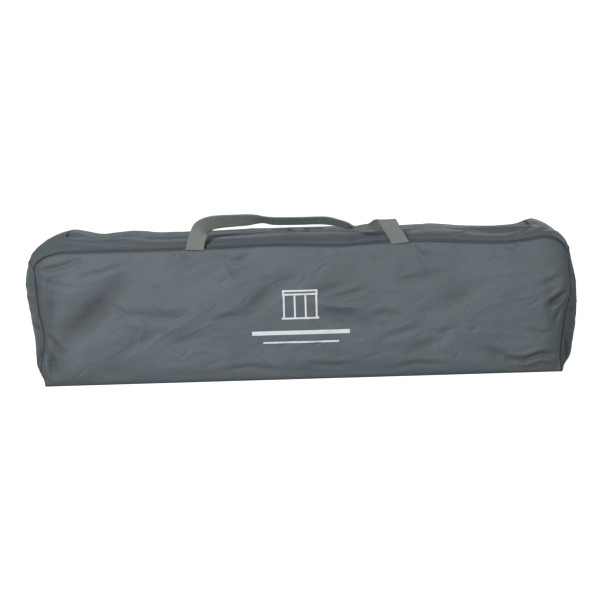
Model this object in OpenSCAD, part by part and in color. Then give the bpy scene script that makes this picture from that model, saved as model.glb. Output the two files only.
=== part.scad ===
// Folded playpen packed in its zipped carry bag.
// X runs along the bag, -Y is the front of the bag and +Z is up.
// The origin is on the floor, under the middle of the bag.

/* [Playpen frame] */
// Length of the folded frame, from the feet to the top corners
frame_l = 752; // [680:4:860]
// Radius of a corner post
post_r = 11; // [9:0.5:13]
// Radius of a top rail tube
rail_r = 9; // [7:0.5:9.5]
// Radius of a floor strut
strut_r = 7; // [5:0.5:8]
// Wall of every tube
tube_wall = 1.2; // [0.8:0.1:1.6]
// Side of a corner housing or foot
corner_s = 42; // [40:1:46]
// Length of a top corner housing
corner_l = 58; // [50:1:70]
// Length of a foot
foot_l = 54; // [48:1:60]
// Length of half a long top rail
long_rail = 440; // [380:5:480]
// Length of half a short top rail
short_rail = 290; // [240:5:320]
// Length of a floor strut
strut_l = 470; // [430:5:500]
// Radius of the floor hub
hub_r = 38; // [36:0.5:39]
// Radius of a foot's wheel
wheel_r = 18; // [14:0.5:18.5]
// Width of a foot's wheel
wheel_w = 14; // [10:1:16]
// Radius of every rivet and axle
rivet_r = 2.5; // [2:0.25:3]

/* [Mattress] */
// Width of the mattress's wide panels, round the frame
wrap_w = 228; // [220:2:280]
// Height of the space inside the wrapped mattress
wrap_in_h = 160; // [158:2:200]
// Length of the mattress panels, along the bag
mattress_l = 650; // [500:10:660]
// Thickness of the mattress pads
pad_t = 9; // [6:0.5:10]
// Thickness of the boards in the mattress
board_t = 3; // [2:0.5:4]
// Width of the strap round the mattress
strap_w = 25; // [15:1:50]
// Thickness of a folded side wall
wall_t = 12; // [6:1:12]

/* [Bag] */
// Thickness that stands for the cloth
cloth_t = 2; // [1:0.25:2.5]
// Free space between the bag and the mattress, front and back
slack = 4; // [3:0.5:10]
// Free space between the frame and an end seam
end_slack = 14; // [12:1:40]
// How far an end panel bulges
end_bulge = 28; // [10:1:40]
// How far the front strip of the top bulges
strip_bulge = 9; // [4:0.5:12]
// How far the lid bulges
lid_bulge = 9; // [4:0.5:14]
// Depth of the top's front strip, from the front seam to the zip
strip_d = 62; // [55:1:80]
// Height of the zip above the top seams
zip_rise = 13; // [8:0.5:18]
// How far the lid stops from an end seam
lid_inset = 42; // [40:1:80]

/* [Zip] */
// Width of one zip tape that shows
tape_w = 11; // [8:0.5:14]
// Width of one row of coils
coil_w = 1.7; // [1.2:0.1:2.2]
// Gap between the two rows of coils
coil_gap = 0.6; // [0.4:0.1:1]
// Length of a zip slider
slider_l = 13; // [10:0.5:16]
// Length of a zip pull
pull_l = 26; // [18:1:36]

/* [Handles] */
// Width of the webbing
web_w = 27; // [20:1:38]
// Thickness of the webbing
web_t = 1.6; // [1.2:0.1:2]
// Distance between the two ends of a handle
handle_span = 302; // [280:2:340]
// How far a handle that hangs down reaches
hang_drop = 96; // [70:2:120]

/* [Hidden] */
$fn = 48;

// Clearances
fit = 0.1;         // round a rivet in its bore
slip = 0.4;        // round a part that slides or turns in a slot
air = 1.5;         // between soft pieces and the frame
touch = 0.3;       // between pieces that lie on each other

// Wrapped mattress: a bottom pad, two side pads, a top pad and a closing pad over it
mattress_z = 4;
wrap_y = wrap_w / 2;
skin = pad_t + board_t;
in_y = wrap_y - skin;
in_z0 = mattress_z + skin;
mid_z = in_z0 + wrap_in_h / 2;
in_z = wrap_in_h / 2;
top_pad_z = in_z0 + wrap_in_h + board_t;
side_top = top_pad_z + pad_t;
close_z = side_top + touch + board_t;
wrap_top = close_z + pad_t;

// Bag, worked out from what it holds
bag_d = wrap_w + 2 * (slack + cloth_t);
bag_y = bag_d / 2;
bag_l = frame_l + 2 * (end_slack + cloth_t);
bag_x = bag_l / 2;
seam_h = wrap_top + 2.5;
panel_top = seam_h - cloth_t - touch;
strip_y = -bag_y + strip_d;
zip_y = strip_y + tape_w + coil_w + coil_gap / 2;
zip_z = seam_h + zip_rise;
lid_x = bag_x - lid_inset;
lid_y0 = zip_y + tape_w + coil_w + coil_gap / 2;
lid_y1 = bag_y - cloth_t - 0.5;
tape_t = 1;

// Folded frame: the posts lie along X at the corners of a rectangle
frame_x = frame_l / 2;
edge_gap = 3;
post_y = in_y - edge_gap - corner_s / 2;
post_z = in_z - edge_gap - corner_s / 2;
wall_y = in_y - air - wall_t;
wall_z = in_z - air - wall_t;
ear_t = 3;
latch_t = 2 * (rail_r + slip + ear_t);
rail_y = wall_y - air - latch_t / 2;
rail_z = wall_z - air - latch_t / 2;
lug_l = 2 * rail_r + 4;
rail_open = 2 + rail_r;
rail_shut = rail_r + 2.5;
corner_x0 = frame_x - corner_l;
corner_pin_x = corner_x0 + 12;
latch_l = 62;
button_r = 8;
button_travel = 3;
socket_d = 18;
post_x0 = -frame_x + foot_l - socket_d;
post_x1 = corner_x0 + socket_d + 20;
foot_pin_x = -frame_x + foot_l - 8;
hub_pin_r = hub_r - 11;
hub_rivet_l = 24;
lug_z = post_z - corner_s / 2 - 2;
// A wider frame's lugs reach further in, so that the rivets at the hub stay clear of each other
lug_y = min(post_y - corner_s / 2 - 4, lug_z * hub_pin_r / (hub_rivet_l / 2 + rivet_r + 1));
strut_angle = atan2(lug_z, lug_y);
foot_pin_r = norm([lug_y, lug_z]);
lug_reach = max(34, 9 + (post_y - corner_s / 2 + 10 - lug_y) / cos(strut_angle));
hub_t = 36;
hub_x = foot_pin_x + sqrt(pow(strut_l, 2) - pow(foot_pin_r - hub_pin_r, 2));
wheel_x = -frame_x + wheel_r - 4;

// Colours
grey_cloth = "#5d666b";
grey_web = "#7d857f";
black_plastic = "#2a2c2e";
dark_steel = "#4a4e52";
bright_steel = "#b9bcbe";

// ---- Curves ----

// Points of an arc from p to q that rises by bulge above the chord, moved along its normals by off
function bulge_r(p, q, bulge) = (pow(norm(q - p) / 2, 2) + pow(bulge, 2)) / (2 * bulge);
function bulge_arc(p, q, bulge, off = 0, steps = 16) =
    let (r = bulge_r(p, q, bulge), half = asin(norm(q - p) / 2 / r), dir = atan2(q[1] - p[1], q[0] - p[0]),
         middle = (p + q) / 2, centre = middle + (r - bulge) * [sin(dir), -cos(dir)])
    [for (i = [0:steps]) let (a = dir + 90 + half - 2 * half * i / steps)
        centre + (r + off) * [cos(a), sin(a)]];

// A curved band between the points p and q, as thick as t, below the arc
module bulge_band(p, q, bulge, t) {
    outer = bulge_arc(p, q, bulge);
    inner = bulge_arc(p, q, bulge, -t);
    polygon(concat(outer, [for (i = [len(inner) - 1:-1:0]) inner[i]]));
}

// Extrudes a profile that is drawn in Y and Z along X, from x0 to x1
module along_x(x0, x1) {
    translate([x0, 0, 0]) rotate([90, 0, 90]) linear_extrude(x1 - x0) children();
}

module slab(from, to) {
    translate(from) cube(to - from);
}

module rod(r, from, to) {
    d = to - from;
    translate(from) rotate([0, acos(d[2] / norm(d)), atan2(d[1], d[0])]) cylinder(r = r, h = norm(d));
}

module tube(r, from, to) {
    d = (to - from) / norm(to - from);
    difference() {
        rod(r, from, to);
        rod(r - tube_wall, from - d, to + d);
    }
}

// ---- Webbing ----

function unit(v) = v / norm(v);

// A smooth value between the stations a and b of a route, with its neighbours o and c
function blend4(o, a, b, c, t) =
    0.5 * (2 * a + (b - o) * t + (2 * o - 5 * a + 4 * b - c) * t * t + (3 * a - o - 3 * b + c) * t * t * t);

// Stations [point, direction across the webbing], with steps between each pair
function smooth_route(route, steps) =
    let (n = len(route))
    [for (i = [0:n - 2]) for (s = [0:steps - (i == n - 2 ? 0 : 1)])
        [for (k = [0, 1]) blend4(route[max(i - 1, 0)][k], route[i][k], route[i + 1][k],
            route[min(i + 2, n - 1)][k], s / steps)]];

// A flat strap that follows a route: each ring is a rectangle web_w by web_t
module webbing(route, steps = 4) {
    path = smooth_route(route, steps);
    last = len(path) - 1;
    rings = [for (i = [0:last]) let (
            along = unit(path[min(i + 1, last)][0] - path[max(i - 1, 0)][0]),
            across = unit(path[i][1]),
            face = unit(cross(along, across)))
        for (c = [[-1, -1], [1, -1], [1, 1], [-1, 1]])
            path[i][0] + across * c[0] * web_w / 2 + face * c[1] * web_t / 2];
    sides = [for (i = [0:last - 1]) for (k = [0:3]) let (a = 4 * i + k, b = 4 * i + (k + 1) % 4)
        each [[a, b, b + 4], [a, b + 4, a + 4]]];
    ends = [[2, 1, 0], [3, 2, 0], [4 * last, 4 * last + 1, 4 * last + 2], [4 * last, 4 * last + 2, 4 * last + 3]];
    polyhedron(points = rings, faces = [for (f = concat(sides, ends)) [f[2], f[1], f[0]]]);
}

web_y = bag_y + web_t;
half_span = handle_span / 2;
web_z = seam_h + web_t;

// The front handle stands in an arch over the top's front strip, and is twisted in the middle
front_route = [
    [[-half_span, -web_y, web_z], [1, 0, 0]],
    [[-half_span + 1, -web_y, web_z + 10], [1, 0, -0.05]],
    [[-half_span + 5, -web_y + 2, web_z + 20], [0.9, 0.05, -0.44]],
    [[-half_span + 13, -web_y + 5, web_z + 26], [0.5, 0.15, -0.85]],
    [[-half_span + 28, -web_y + 9, web_z + 28], [0.1, 0.32, -0.94]],
    [[-half_span + 55, -web_y + 14, web_z + 29.5], [0, 0.54, -0.84]],
    [[-half_span + 90, -web_y + 18, web_z + 30.5], [0, 0.7, -0.72]],
    [[-half_span + 121, -web_y + 20, web_z + 31], [0, 0.92, -0.4]],
    [[0, -web_y + 21, web_z + 29.5], [0, 0.94, -0.34]],
    [[half_span - 112, -web_y + 20, web_z + 26.5], [0, 0.88, -0.47]],
    [[half_span - 84, -web_y + 18, web_z + 24], [0, 0.86, -0.5]],
    [[half_span - 60, -web_y + 16, web_z + 23], [0, 0.9, -0.42]],
    [[half_span - 40, -web_y + 12, web_z + 25], [-0.1, 0.75, -0.65]],
    [[half_span - 24, -web_y + 7, web_z + 26], [-0.5, 0.35, -0.79]],
    [[half_span - 13, -web_y + 3, web_z + 20], [-0.93, 0.05, -0.35]],
    [[half_span - 4, -web_y, web_z + 10], [-1, 0, -0.15]],
    [[half_span, -web_y, web_z], [-1, 0, 0]]];

// The back handle hangs down behind the back panel
function hang(x, drop, across) = [[x, web_y, web_z - 4 - drop], across];
back_left = [
    hang(-half_span, 0, [1, 0, 0]),
    hang(-half_span + 1, hang_drop * 0.3, [1, 0, 0.05]),
    hang(-half_span + 6, hang_drop * 0.62, [0.97, 0, 0.25]),
    hang(-half_span + 22, hang_drop * 0.86, [0.72, 0, 0.69]),
    hang(-half_span + 48, hang_drop * 0.97, [0.25, 0, 0.97]),
    hang(-half_span + 90, hang_drop, [0, 0, 1])];
function across_x(s) = [[-s[0][0], s[0][1], s[0][2]], [-s[1][0], s[1][1], s[1][2]]];
back_route = concat(back_left, [hang(0, hang_drop, [0, 0, 1])],
    [for (i = [len(back_left) - 1:-1:0]) across_x(back_left[i])]);

module front_handle() color(grey_web) webbing(front_route);

module back_handle() color(grey_web) webbing([for (s = back_route) [s[0], [s[1][0], s[1][1], s[1][2]]]]);

// The sewn ends of both handles, inside the bag under the seams
root_l = 26;

module handle_roots() color(grey_web)
    for (side = [-1, 1], end = [-1, 1])
        translate([end * half_span, side * (bag_y - cloth_t - touch - web_t / 2), seam_h - 3 - root_l / 2])
            cube([web_w, web_t, root_l], center = true);

// ---- Bag cloth ----

front_seam = [-bag_y, seam_h];
back_seam = [bag_y, seam_h];
strip_edge = [strip_y, zip_z];
lid_edge = [lid_y0, zip_z];
lid_back = [lid_y1, seam_h + cloth_t];

// The outline of a long side panel: its ends bulge like the end panels that they are sewn to
module side_outline() {
    right = bulge_arc([bag_x, panel_top], [bag_x, cloth_t], end_bulge);
    polygon(concat(right, [for (i = [len(right) - 1:-1:0]) [-right[i][0], right[i][1]]]));
}

module side_panel(y0) color(grey_cloth)
    translate([0, y0 + cloth_t, 0]) rotate([90, 0, 0]) linear_extrude(cloth_t) side_outline();

module bag_front_panel() side_panel(-bag_y);

module bag_back_panel() side_panel(bag_y - cloth_t);

module bag_bottom_panel() color(grey_cloth)
    slab([-bag_x, -bag_y, 0], [bag_x, bag_y, cloth_t]);

// An end panel bulges out between the bottom and the top seam
module bag_end(side) color(grey_cloth)
    rotate([90, 0, 0]) linear_extrude(bag_d - 2 * cloth_t, center = true) mirror([side < 0 ? 1 : 0, 0])
        bulge_band([bag_x, panel_top], [bag_x, cloth_t], end_bulge, cloth_t);

module bag_left_end() bag_end(-1);

module bag_right_end() bag_end(1);

// The cross-section of the top behind the zip, as thick as t and shifted down by drop
module lid_section(t, drop = 0) {
    translate([0, -drop]) bulge_band(lid_edge, lid_back, lid_bulge, t);
}

// The part of the top that stays: a strip in front of the zip and one at each end
module bag_top_rim() color(grey_cloth) {
    along_x(-bag_x, bag_x) bulge_band(front_seam, strip_edge, strip_bulge, cloth_t);
    for (side = [-1, 1]) {
        x0 = side > 0 ? lid_x + tape_w + coil_w + coil_gap : -bag_x;
        x1 = side > 0 ? bag_x : -lid_x - tape_w - coil_w - coil_gap;
        along_x(x0, x1) lid_section(cloth_t);
        slab([x0, strip_y - 3, zip_z - cloth_t], [x1, lid_y0 + 3, zip_z]);
        along_x(side > 0 ? bag_x - cloth_t : -bag_x, side > 0 ? bag_x : -bag_x + cloth_t) polygon(concat(
            [[lid_y1, seam_h]], [front_seam], bulge_arc(front_seam, strip_edge, strip_bulge),
            bulge_arc(lid_edge, lid_back, lid_bulge)));
    }
}

module bag_lid() color(grey_cloth)
    along_x(-lid_x + tape_w + coil_w + coil_gap, lid_x - tape_w - coil_w - coil_gap) lid_section(cloth_t);

// ---- Zip ----

tape_z = zip_z - 1.2;
coil_t = 1.6;

// A run of the zip round three sides of the lid: outer is its outer edge from the lid's edge line
module zip_run(inner, outer, t, drop) {
    y0 = zip_y - outer;
    y1 = zip_y - inner;
    slab([-lid_x - outer, min(y0, y1), zip_z - drop - t], [lid_x + outer, max(y0, y1), zip_z - drop]);
    for (side = [-1, 1]) {
        xs = [side * (lid_x + inner), side * (lid_x + outer)];
        slab([min(xs), max(y0, y1) - 0.01, zip_z - drop - t], [max(xs), lid_y0 + 0.01, zip_z - drop]);
        along_x(min(xs), max(xs)) lid_section(t, drop);
    }
}

gap_half = coil_gap / 2;

module zip_tape_bag() color("#4d5458") zip_run(gap_half + coil_w, gap_half + coil_w + tape_w, tape_t, 0.5);

module zip_coil_bag() color(dark_steel) zip_run(gap_half, gap_half + coil_w, coil_t, 0.2);

// The lid's half of the zip runs inside the lid's edge line
module lid_run(inner, outer, t, drop) {
    slab([-lid_x + inner, zip_y + inner, zip_z - drop - t], [lid_x - inner, zip_y + outer, zip_z - drop]);
    for (side = [-1, 1]) {
        xs = [side * (lid_x - inner), side * (lid_x - outer)];
        slab([min(xs), zip_y + outer - 0.01, zip_z - drop - t], [max(xs), lid_y0 + 0.01, zip_z - drop]);
        along_x(min(xs), max(xs)) lid_section(t, drop);
    }
}

module zip_tape_lid() color("#4d5458") lid_run(gap_half + coil_w, gap_half + coil_w + tape_w, tape_t, 0.5);

module zip_coil_lid() color(dark_steel) lid_run(gap_half, gap_half + coil_w, coil_t, 0.2);

// A slider carries both rows of coils on its lower plate; its upper plate stops at the gap between them
slider_w = 9;
plate_t = 1.1;
slider_low = zip_z - 0.2 - coil_t - slip;
slider_high = zip_z - 0.2 + slip;
slider_x = 12;
bail_h = 3.2;
pull_pin_r = 0.9;
pull_w = 5;
bail_y = -pull_w / 2 + gap_half;

module slider(side) color(bright_steel) translate([side * slider_x, zip_y, 0]) {
    translate([-slider_l / 2, -slider_w / 2, slider_low - plate_t]) cube([slider_l, slider_w, plate_t]);
    translate([-slider_l / 2, -slider_w / 2, slider_high]) cube([slider_l, slider_w / 2 + gap_half - 0.05, plate_t]);
    translate([-side * (slider_l / 2 - 1), 0, slider_low - plate_t])
        cylinder(r = gap_half - 0.05, h = slider_high - slider_low + 2 * plate_t, $fn = 24);
    translate([0, bail_y, slider_high + plate_t]) difference() {
        translate([-3.5, -0.9, -0.01]) cube([7, 1.8, bail_h]);
        translate([0, 0, bail_h - 1.6]) rotate([90, 0, 0]) cylinder(r = pull_pin_r + 0.05, h = 4, center = true);
    }
}

module left_slider() slider(-1);

module right_slider() slider(1);

pull_z = slider_high + plate_t + bail_h - 1.6;
pull_t = 1.6;

// A pull is a flat tab with a fork and a pin that runs through the slider's eye
module pull(side) color(bright_steel) translate([side * slider_x, zip_y + bail_y, pull_z]) {
    rotate([90, 0, 0]) cylinder(r = pull_pin_r, h = pull_w, center = true);
    for (w = [-1, 1])
        translate([side > 0 ? 0 : -6.5, w * (pull_w / 2 - 0.6) - 0.6, -pull_t / 2]) cube([6.5, 1.2, pull_t]);
    difference() {
        union() {
            translate([side > 0 ? 5.5 : -pull_l + 2.5, -pull_w / 2, -pull_t / 2]) cube([pull_l - 8, pull_w, pull_t]);
            translate([side * (pull_l - 2.5), 0, 0]) cylinder(r = pull_w / 2, h = pull_t, center = true);
        }
        translate([side * (pull_l - 3), 0, 0]) cylinder(r = 1.2, h = 3, center = true);
    }
}

module left_pull() pull(-1);

module right_pull() pull(1);

// ---- Print on the front panel: a plain pen outline over two bars ----

print_t = 0.3;
print_x = -18;
print_z = 106;
line_w = 3.2;

module bar(x0, x1, z, w) {
    translate([x0, z]) circle(d = w, $fn = 24);
    translate([x1, z]) circle(d = w, $fn = 24);
    translate([x0, z - w / 2]) square([x1 - x0, w]);
}

module front_print() color("white")
    translate([print_x, -bag_y, print_z]) rotate([90, 0, 0]) linear_extrude(print_t) {
        difference() {
            bar(-24, 24, 24, 3 * line_w);
            bar(-24, 24, 24, line_w);
        }
        for (x = [-24, -8, 8, 24]) translate([x - line_w / 2, -14]) square([line_w, 34]);
        bar(-26, 26, -14, line_w);
        bar(-70, 70, -34, 9);
        bar(-58, 58, -50, 3);
    }

// ---- Frame ----

// Puts its children at a corner of the folded frame
module at_corner(sy, sz) {
    translate([0, sy * post_y, mid_z + sz * post_z]) children();
}

module post(sy, sz) color(dark_steel) at_corner(sy, sz)
    tube(post_r, [post_x0, 0, 0], [post_x1, 0, 0]);

module post_front_low() post(-1, -1);

module post_front_high() post(-1, 1);

module post_back_low() post(1, -1);

module post_back_high() post(1, 1);

// A lug that holds a rail's end between two ears; the rail lies along X and the pin along Z
module rail_lug() {
    difference() {
        translate([corner_x0 - 2, -lug_l / 2, -latch_t / 2]) cube([22, lug_l + 4, latch_t]);
        translate([corner_x0 - 3, -lug_l / 2 - 1, -rail_r - slip]) cube([24, lug_l, 2 * (rail_r + slip)]);
        translate([corner_pin_x, 0, 0]) cylinder(r = rivet_r + fit, h = latch_t + 2, center = true);
    }
}

// The middle of a rail's outer end, from the middle of the side that the rail spans
open_y = post_y - corner_s / 2 - rail_open;
open_z = post_z - corner_s / 2 - rail_open;

// A latch is wide enough for rails that lean apart
rail_lean = 18 * max((open_y - rail_shut) / long_rail, (open_z - rail_shut) / short_rail);
latch_w = 2 * (rail_shut + rail_r + slip + rail_lean + ear_t);

module corner(sy, sz) color(black_plastic) translate([0, 0, mid_z]) mirror([0, sy < 0 ? 1 : 0, 0])
    mirror([0, 0, sz < 0 ? 1 : 0]) {
        difference() {
            translate([corner_x0, post_y - corner_s / 2, post_z - corner_s / 2]) cube([corner_l, corner_s, corner_s]);
            translate([corner_x0 - 1, post_y, post_z]) rotate([0, 90, 0])
                cylinder(r = post_r + fit, h = post_x1 - corner_x0 + 1 + fit);
        }
        translate([0, open_y, rail_z]) rail_lug();
        translate([0, rail_y, open_z]) mirror([0, 1, -1]) rail_lug();
    }

module corner_front_low() corner(-1, -1);

module corner_front_high() corner(-1, 1);

module corner_back_low() corner(1, -1);

module corner_back_high() corner(1, 1);

// Puts its children in the plane of a strut: Y then points from the middle of the frame to the foot
module strut_plane(sy, sz) {
    translate([0, 0, mid_z]) mirror([0, sy < 0 ? 1 : 0, 0]) mirror([0, 0, sz < 0 ? 1 : 0])
        rotate([strut_angle, 0, 0]) children();
}

// A foot is a block on the post's end, with two ears for a floor strut; two feet also hold a wheel
module foot(sy, sz, wheel) color(black_plastic) difference() {
    union() {
        at_corner(sy, sz) translate([-frame_x, -corner_s / 2, -corner_s / 2]) cube([foot_l, corner_s, corner_s]);
        strut_plane(sy, sz) translate([foot_pin_x - 8, foot_pin_r - 9, -strut_r - slip - ear_t])
            cube([16, lug_reach, 2 * (strut_r + slip + ear_t)]);
    }
    at_corner(sy, sz) {
        translate([post_x0 - fit, 0, 0]) rotate([0, 90, 0]) cylinder(r = post_r + fit, h = socket_d + 9);
        if (wheel) {
            translate([-frame_x - 1, -wheel_w / 2 - slip, -corner_s])
                cube([wheel_x + wheel_r + slip + frame_x + 1, wheel_w + 2 * slip, 2 * corner_s]);
            translate([wheel_x, 0, 0]) rotate([90, 0, 0]) cylinder(r = rivet_r + fit, h = 2 * corner_s, center = true);
        }
    }
    strut_plane(sy, sz) {
        translate([foot_pin_x - 9, foot_pin_r - 10, -strut_r - slip]) cube([18, 18, 2 * (strut_r + slip)]);
        translate([foot_pin_x, foot_pin_r, 0]) cylinder(r = rivet_r + fit, h = 4 * strut_r, center = true);
    }
}

module foot_front_low() foot(-1, -1, true);

module foot_front_high() foot(-1, 1, false);

module foot_back_low() foot(1, -1, true);

module foot_back_high() foot(1, 1, false);

module wheel(sy) color("#1c1c1e") at_corner(sy, -1) translate([wheel_x, 0, 0]) rotate([90, 0, 0])
    difference() {
        cylinder(r = wheel_r, h = wheel_w, center = true);
        cylinder(r = rivet_r + 2 * fit, h = wheel_w + 2, center = true);
        for (side = [-1, 1]) translate([0, 0, side * wheel_w / 2]) difference() {
            cylinder(r = wheel_r - 4, h = 4, center = true);
            cylinder(r = rivet_r + 3, h = 6, center = true);
        }
    }

module wheel_front() wheel(-1);

module wheel_back() wheel(1);

module wheel_axles() color(bright_steel)
    for (sy = [-1, 1]) at_corner(sy, -1) translate([wheel_x, 0, 0]) rotate([90, 0, 0])
        cylinder(r = rivet_r, h = corner_s, center = true);

// Puts its children on one side of the frame: Y then runs along that side, and Z points out of it
module on_side(side) {
    turn = side == "low" ? 180 : side == "front" ? 90 : side == "back" ? -90 : 0;
    out = side == "low" || side == "high" ? rail_z : rail_y;
    translate([0, 0, mid_z]) rotate([turn, 0, 0]) translate([0, 0, out]) children();
}

function side_open(side) = side == "low" || side == "high" ? open_y : open_z;
function side_length(side) = side == "low" || side == "high" ? long_rail : short_rail;
function latch_x(side) = corner_pin_x - sqrt(pow(side_length(side), 2) - pow(side_open(side) - rail_shut, 2));

// Both halves of a top rail, folded side by side, with a bore for the rivet at each end
module rail(side) color(dark_steel) on_side(side)
    for (half = [-1, 1]) {
        outer = [corner_pin_x, half * side_open(side), 0];
        inner = [latch_x(side), half * rail_shut, 0];
        d = unit(outer - inner);
        difference() {
            tube(rail_r, inner - 7 * d, outer + 6 * d);
            for (p = [outer, inner]) translate(p) cylinder(r = rivet_r + fit, h = 3 * rail_r, center = true);
        }
    }

module rail_low() rail("low");

module rail_high() rail("high");

module rail_front() rail("front");

module rail_back() rail("back");

// A latch joins the two halves of a rail, and its button lets them fold
module latch(side) color(black_plastic) on_side(side) difference() {
    x0 = latch_x(side) + 14 - latch_l;
    translate([x0, -latch_w / 2, -latch_t / 2]) cube([latch_l, latch_w, latch_t]);
    translate([latch_x(side) - 9, -latch_w / 2 + ear_t, -rail_r - slip])
        cube([latch_l, latch_w - 2 * ear_t, 2 * (rail_r + slip)]);
    for (half = [-1, 1]) translate([latch_x(side), half * rail_shut, 0])
        cylinder(r = rivet_r + fit, h = latch_t + 2, center = true);
    translate([x0 + 19, 0, latch_t / 2 - 12]) cylinder(r = button_r + slip, h = 13);
}

module latch_low() latch("low");

module latch_high() latch("high");

module latch_front() latch("front");

module latch_back() latch("back");

module button(side) color("#b23a2c") on_side(side)
    translate([latch_x(side) + 14 - latch_l + 19, 0, latch_t / 2 - 12 + button_travel + slip])
        cylinder(r = button_r, h = 12 - button_travel);

module button_low() button("low");

module button_high() button("high");

module button_front() button("front");

module button_back() button("back");

// The hub holds the four floor struts in slots, and a webbing pull lifts it to fold the frame
module floor_hub() color(black_plastic) difference() {
    translate([hub_x - hub_t / 2, 0, mid_z]) rotate([0, 90, 0]) cylinder(r = hub_r, h = hub_t);
    for (sy = [-1, 1], sz = [-1, 1]) strut_plane(sy, sz) {
        translate([hub_x - hub_t, hub_pin_r - 9, -strut_r - slip])
            cube([hub_t + 9, hub_r, 2 * (strut_r + slip)]);
        translate([hub_x, hub_pin_r, 0]) cylinder(r = rivet_r + fit, h = 26, center = true);
    }
}

pull_loop = 70;

module hub_pull() color(grey_web) translate([hub_x + hub_t / 2, 0, mid_z]) rotate([90, 0, 0])
    linear_extrude(22, center = true) difference() {
        translate([touch, -8]) square([pull_loop, 16]);
        translate([touch + web_t, -8 + web_t]) square([pull_loop - 2 * web_t, 16 - 2 * web_t]);
    }

module strut(sy, sz) color(dark_steel) strut_plane(sy, sz) {
    outer = [foot_pin_x, foot_pin_r, 0];
    inner = [hub_x, hub_pin_r, 0];
    d = unit(inner - outer);
    difference() {
        tube(strut_r, outer - 6 * d, inner + 6 * d);
        for (p = [outer, inner]) translate(p) cylinder(r = rivet_r + fit, h = 3 * strut_r, center = true);
    }
}

module strut_front_low() strut(-1, -1);

module strut_front_high() strut(-1, 1);

module strut_back_low() strut(1, -1);

module strut_back_high() strut(1, 1);

module rivets() color(bright_steel) {
    for (side = ["low", "high", "front", "back"], half = [-1, 1]) on_side(side) {
        translate([corner_pin_x, half * side_open(side), 0]) cylinder(r = rivet_r, h = latch_t, center = true);
        translate([latch_x(side), half * rail_shut, 0]) cylinder(r = rivet_r, h = latch_t, center = true);
    }
    for (sy = [-1, 1], sz = [-1, 1]) strut_plane(sy, sz) {
        translate([foot_pin_x, foot_pin_r, 0]) cylinder(r = rivet_r, h = 2 * (strut_r + slip + ear_t), center = true);
        translate([hub_x, hub_pin_r, 0]) cylinder(r = rivet_r, h = hub_rivet_l, center = true);
    }
}

// ---- Mattress and walls ----

half_m = mattress_l / 2;
close_y = wrap_y - 48;

// One cover that wraps the frame like a spiral: top, back, bottom, front and a closing panel over the top
module mattress() color("#8d9499") along_x(-half_m, half_m) difference() {
    translate([-wrap_y, mattress_z]) square([wrap_w, wrap_top - mattress_z]);
    translate([-wrap_y + pad_t, mattress_z + pad_t]) square([wrap_w - 2 * pad_t, top_pad_z - mattress_z - pad_t]);
    translate([-wrap_y + pad_t, side_top]) square([wrap_w, close_z - side_top]);
    translate([close_y, side_top]) square([wrap_w, wrap_top]);
    translate([-wrap_y + pad_t, top_pad_z - 1]) square([touch, side_top - top_pad_z + 2]);
}

module board(y0, y1, z0, z1) {
    slab([-half_m + 8, y0, z0], [half_m - 8, y1, z1]);
}

module mattress_boards() color("#9c7a52") {
    edge = pad_t + board_t + touch;
    inner = wrap_y - pad_t;
    board(-inner, inner, mattress_z + pad_t, mattress_z + skin);
    board(-inner, inner, top_pad_z - board_t, top_pad_z);
    for (side = [-1, 1]) board(min(side * inner, side * in_y), max(side * inner, side * in_y),
        in_z0 + touch, top_pad_z - board_t - touch);
    board(-wrap_y + edge, close_y - 6, side_top + touch / 2, close_z);
}

module mattress_straps() color("#33373a")
    for (x = [-0.55, 0.55] * half_m) along_x(x - strap_w / 2, x + strap_w / 2) difference() {
        low = mattress_z - touch;
        translate([-wrap_y - touch - 1, low - 1]) square([wrap_w + 2 * touch + 2, wrap_top - low + touch + 2]);
        translate([-wrap_y - touch, low]) square([wrap_w + 2 * touch, wrap_top - low + touch]);
    }

wall_l = 2 * (corner_x0 - 12);

// A side wall of the pen, folded flat in pleats between two posts
module wall(side) color("#6f767a") translate([0, 0, mid_z]) {
    flat = side == "low" || side == "high";
    across = flat ? post_y - post_r - 2 : post_z - post_r - 2;
    out = flat ? wall_z : wall_y;
    turn = side == "low" ? 180 : side == "front" ? 90 : side == "back" ? -90 : 0;
    rotate([turn, 0, 0]) slab([-wall_l / 2, -across, out], [wall_l / 2, across, out + wall_t]);
}

module wall_low() wall("low");

module wall_high() wall("high");

module wall_front() wall("front");

module wall_back() wall("back");

bag_front_panel();
bag_back_panel();
bag_bottom_panel();
bag_left_end();
bag_right_end();
bag_top_rim();
bag_lid();
zip_tape_bag();
zip_tape_lid();
zip_coil_bag();
zip_coil_lid();
left_slider();
left_pull();
right_slider();
right_pull();
front_handle();
back_handle();
handle_roots();
front_print();
post_front_low();
post_front_high();
post_back_low();
post_back_high();
corner_front_low();
corner_front_high();
corner_back_low();
corner_back_high();
foot_front_low();
foot_front_high();
foot_back_low();
foot_back_high();
wheel_front();
wheel_back();
wheel_axles();
rail_low();
rail_high();
rail_front();
rail_back();
latch_low();
latch_high();
latch_front();
latch_back();
button_low();
button_high();
button_front();
button_back();
floor_hub();
hub_pull();
strut_front_low();
strut_front_high();
strut_back_low();
strut_back_high();
rivets();
mattress();
mattress_boards();
mattress_straps();
wall_front();
wall_back();
wall_high();
wall_low();
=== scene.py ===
"""Looks of a folding playpen that is packed in its zipped carry bag.

The bag's cloth, webbing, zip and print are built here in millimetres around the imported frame, and the
folded playpen inside it gets its finishes. Every size that the frame fixes is read from the frame.
"""

from __future__ import annotations

import logging
import math
from dataclasses import dataclass, field
from enum import Enum
from typing import Any, Iterable, Sequence

import bpy
import numpy as np
from mathutils import Matrix, Vector

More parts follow.
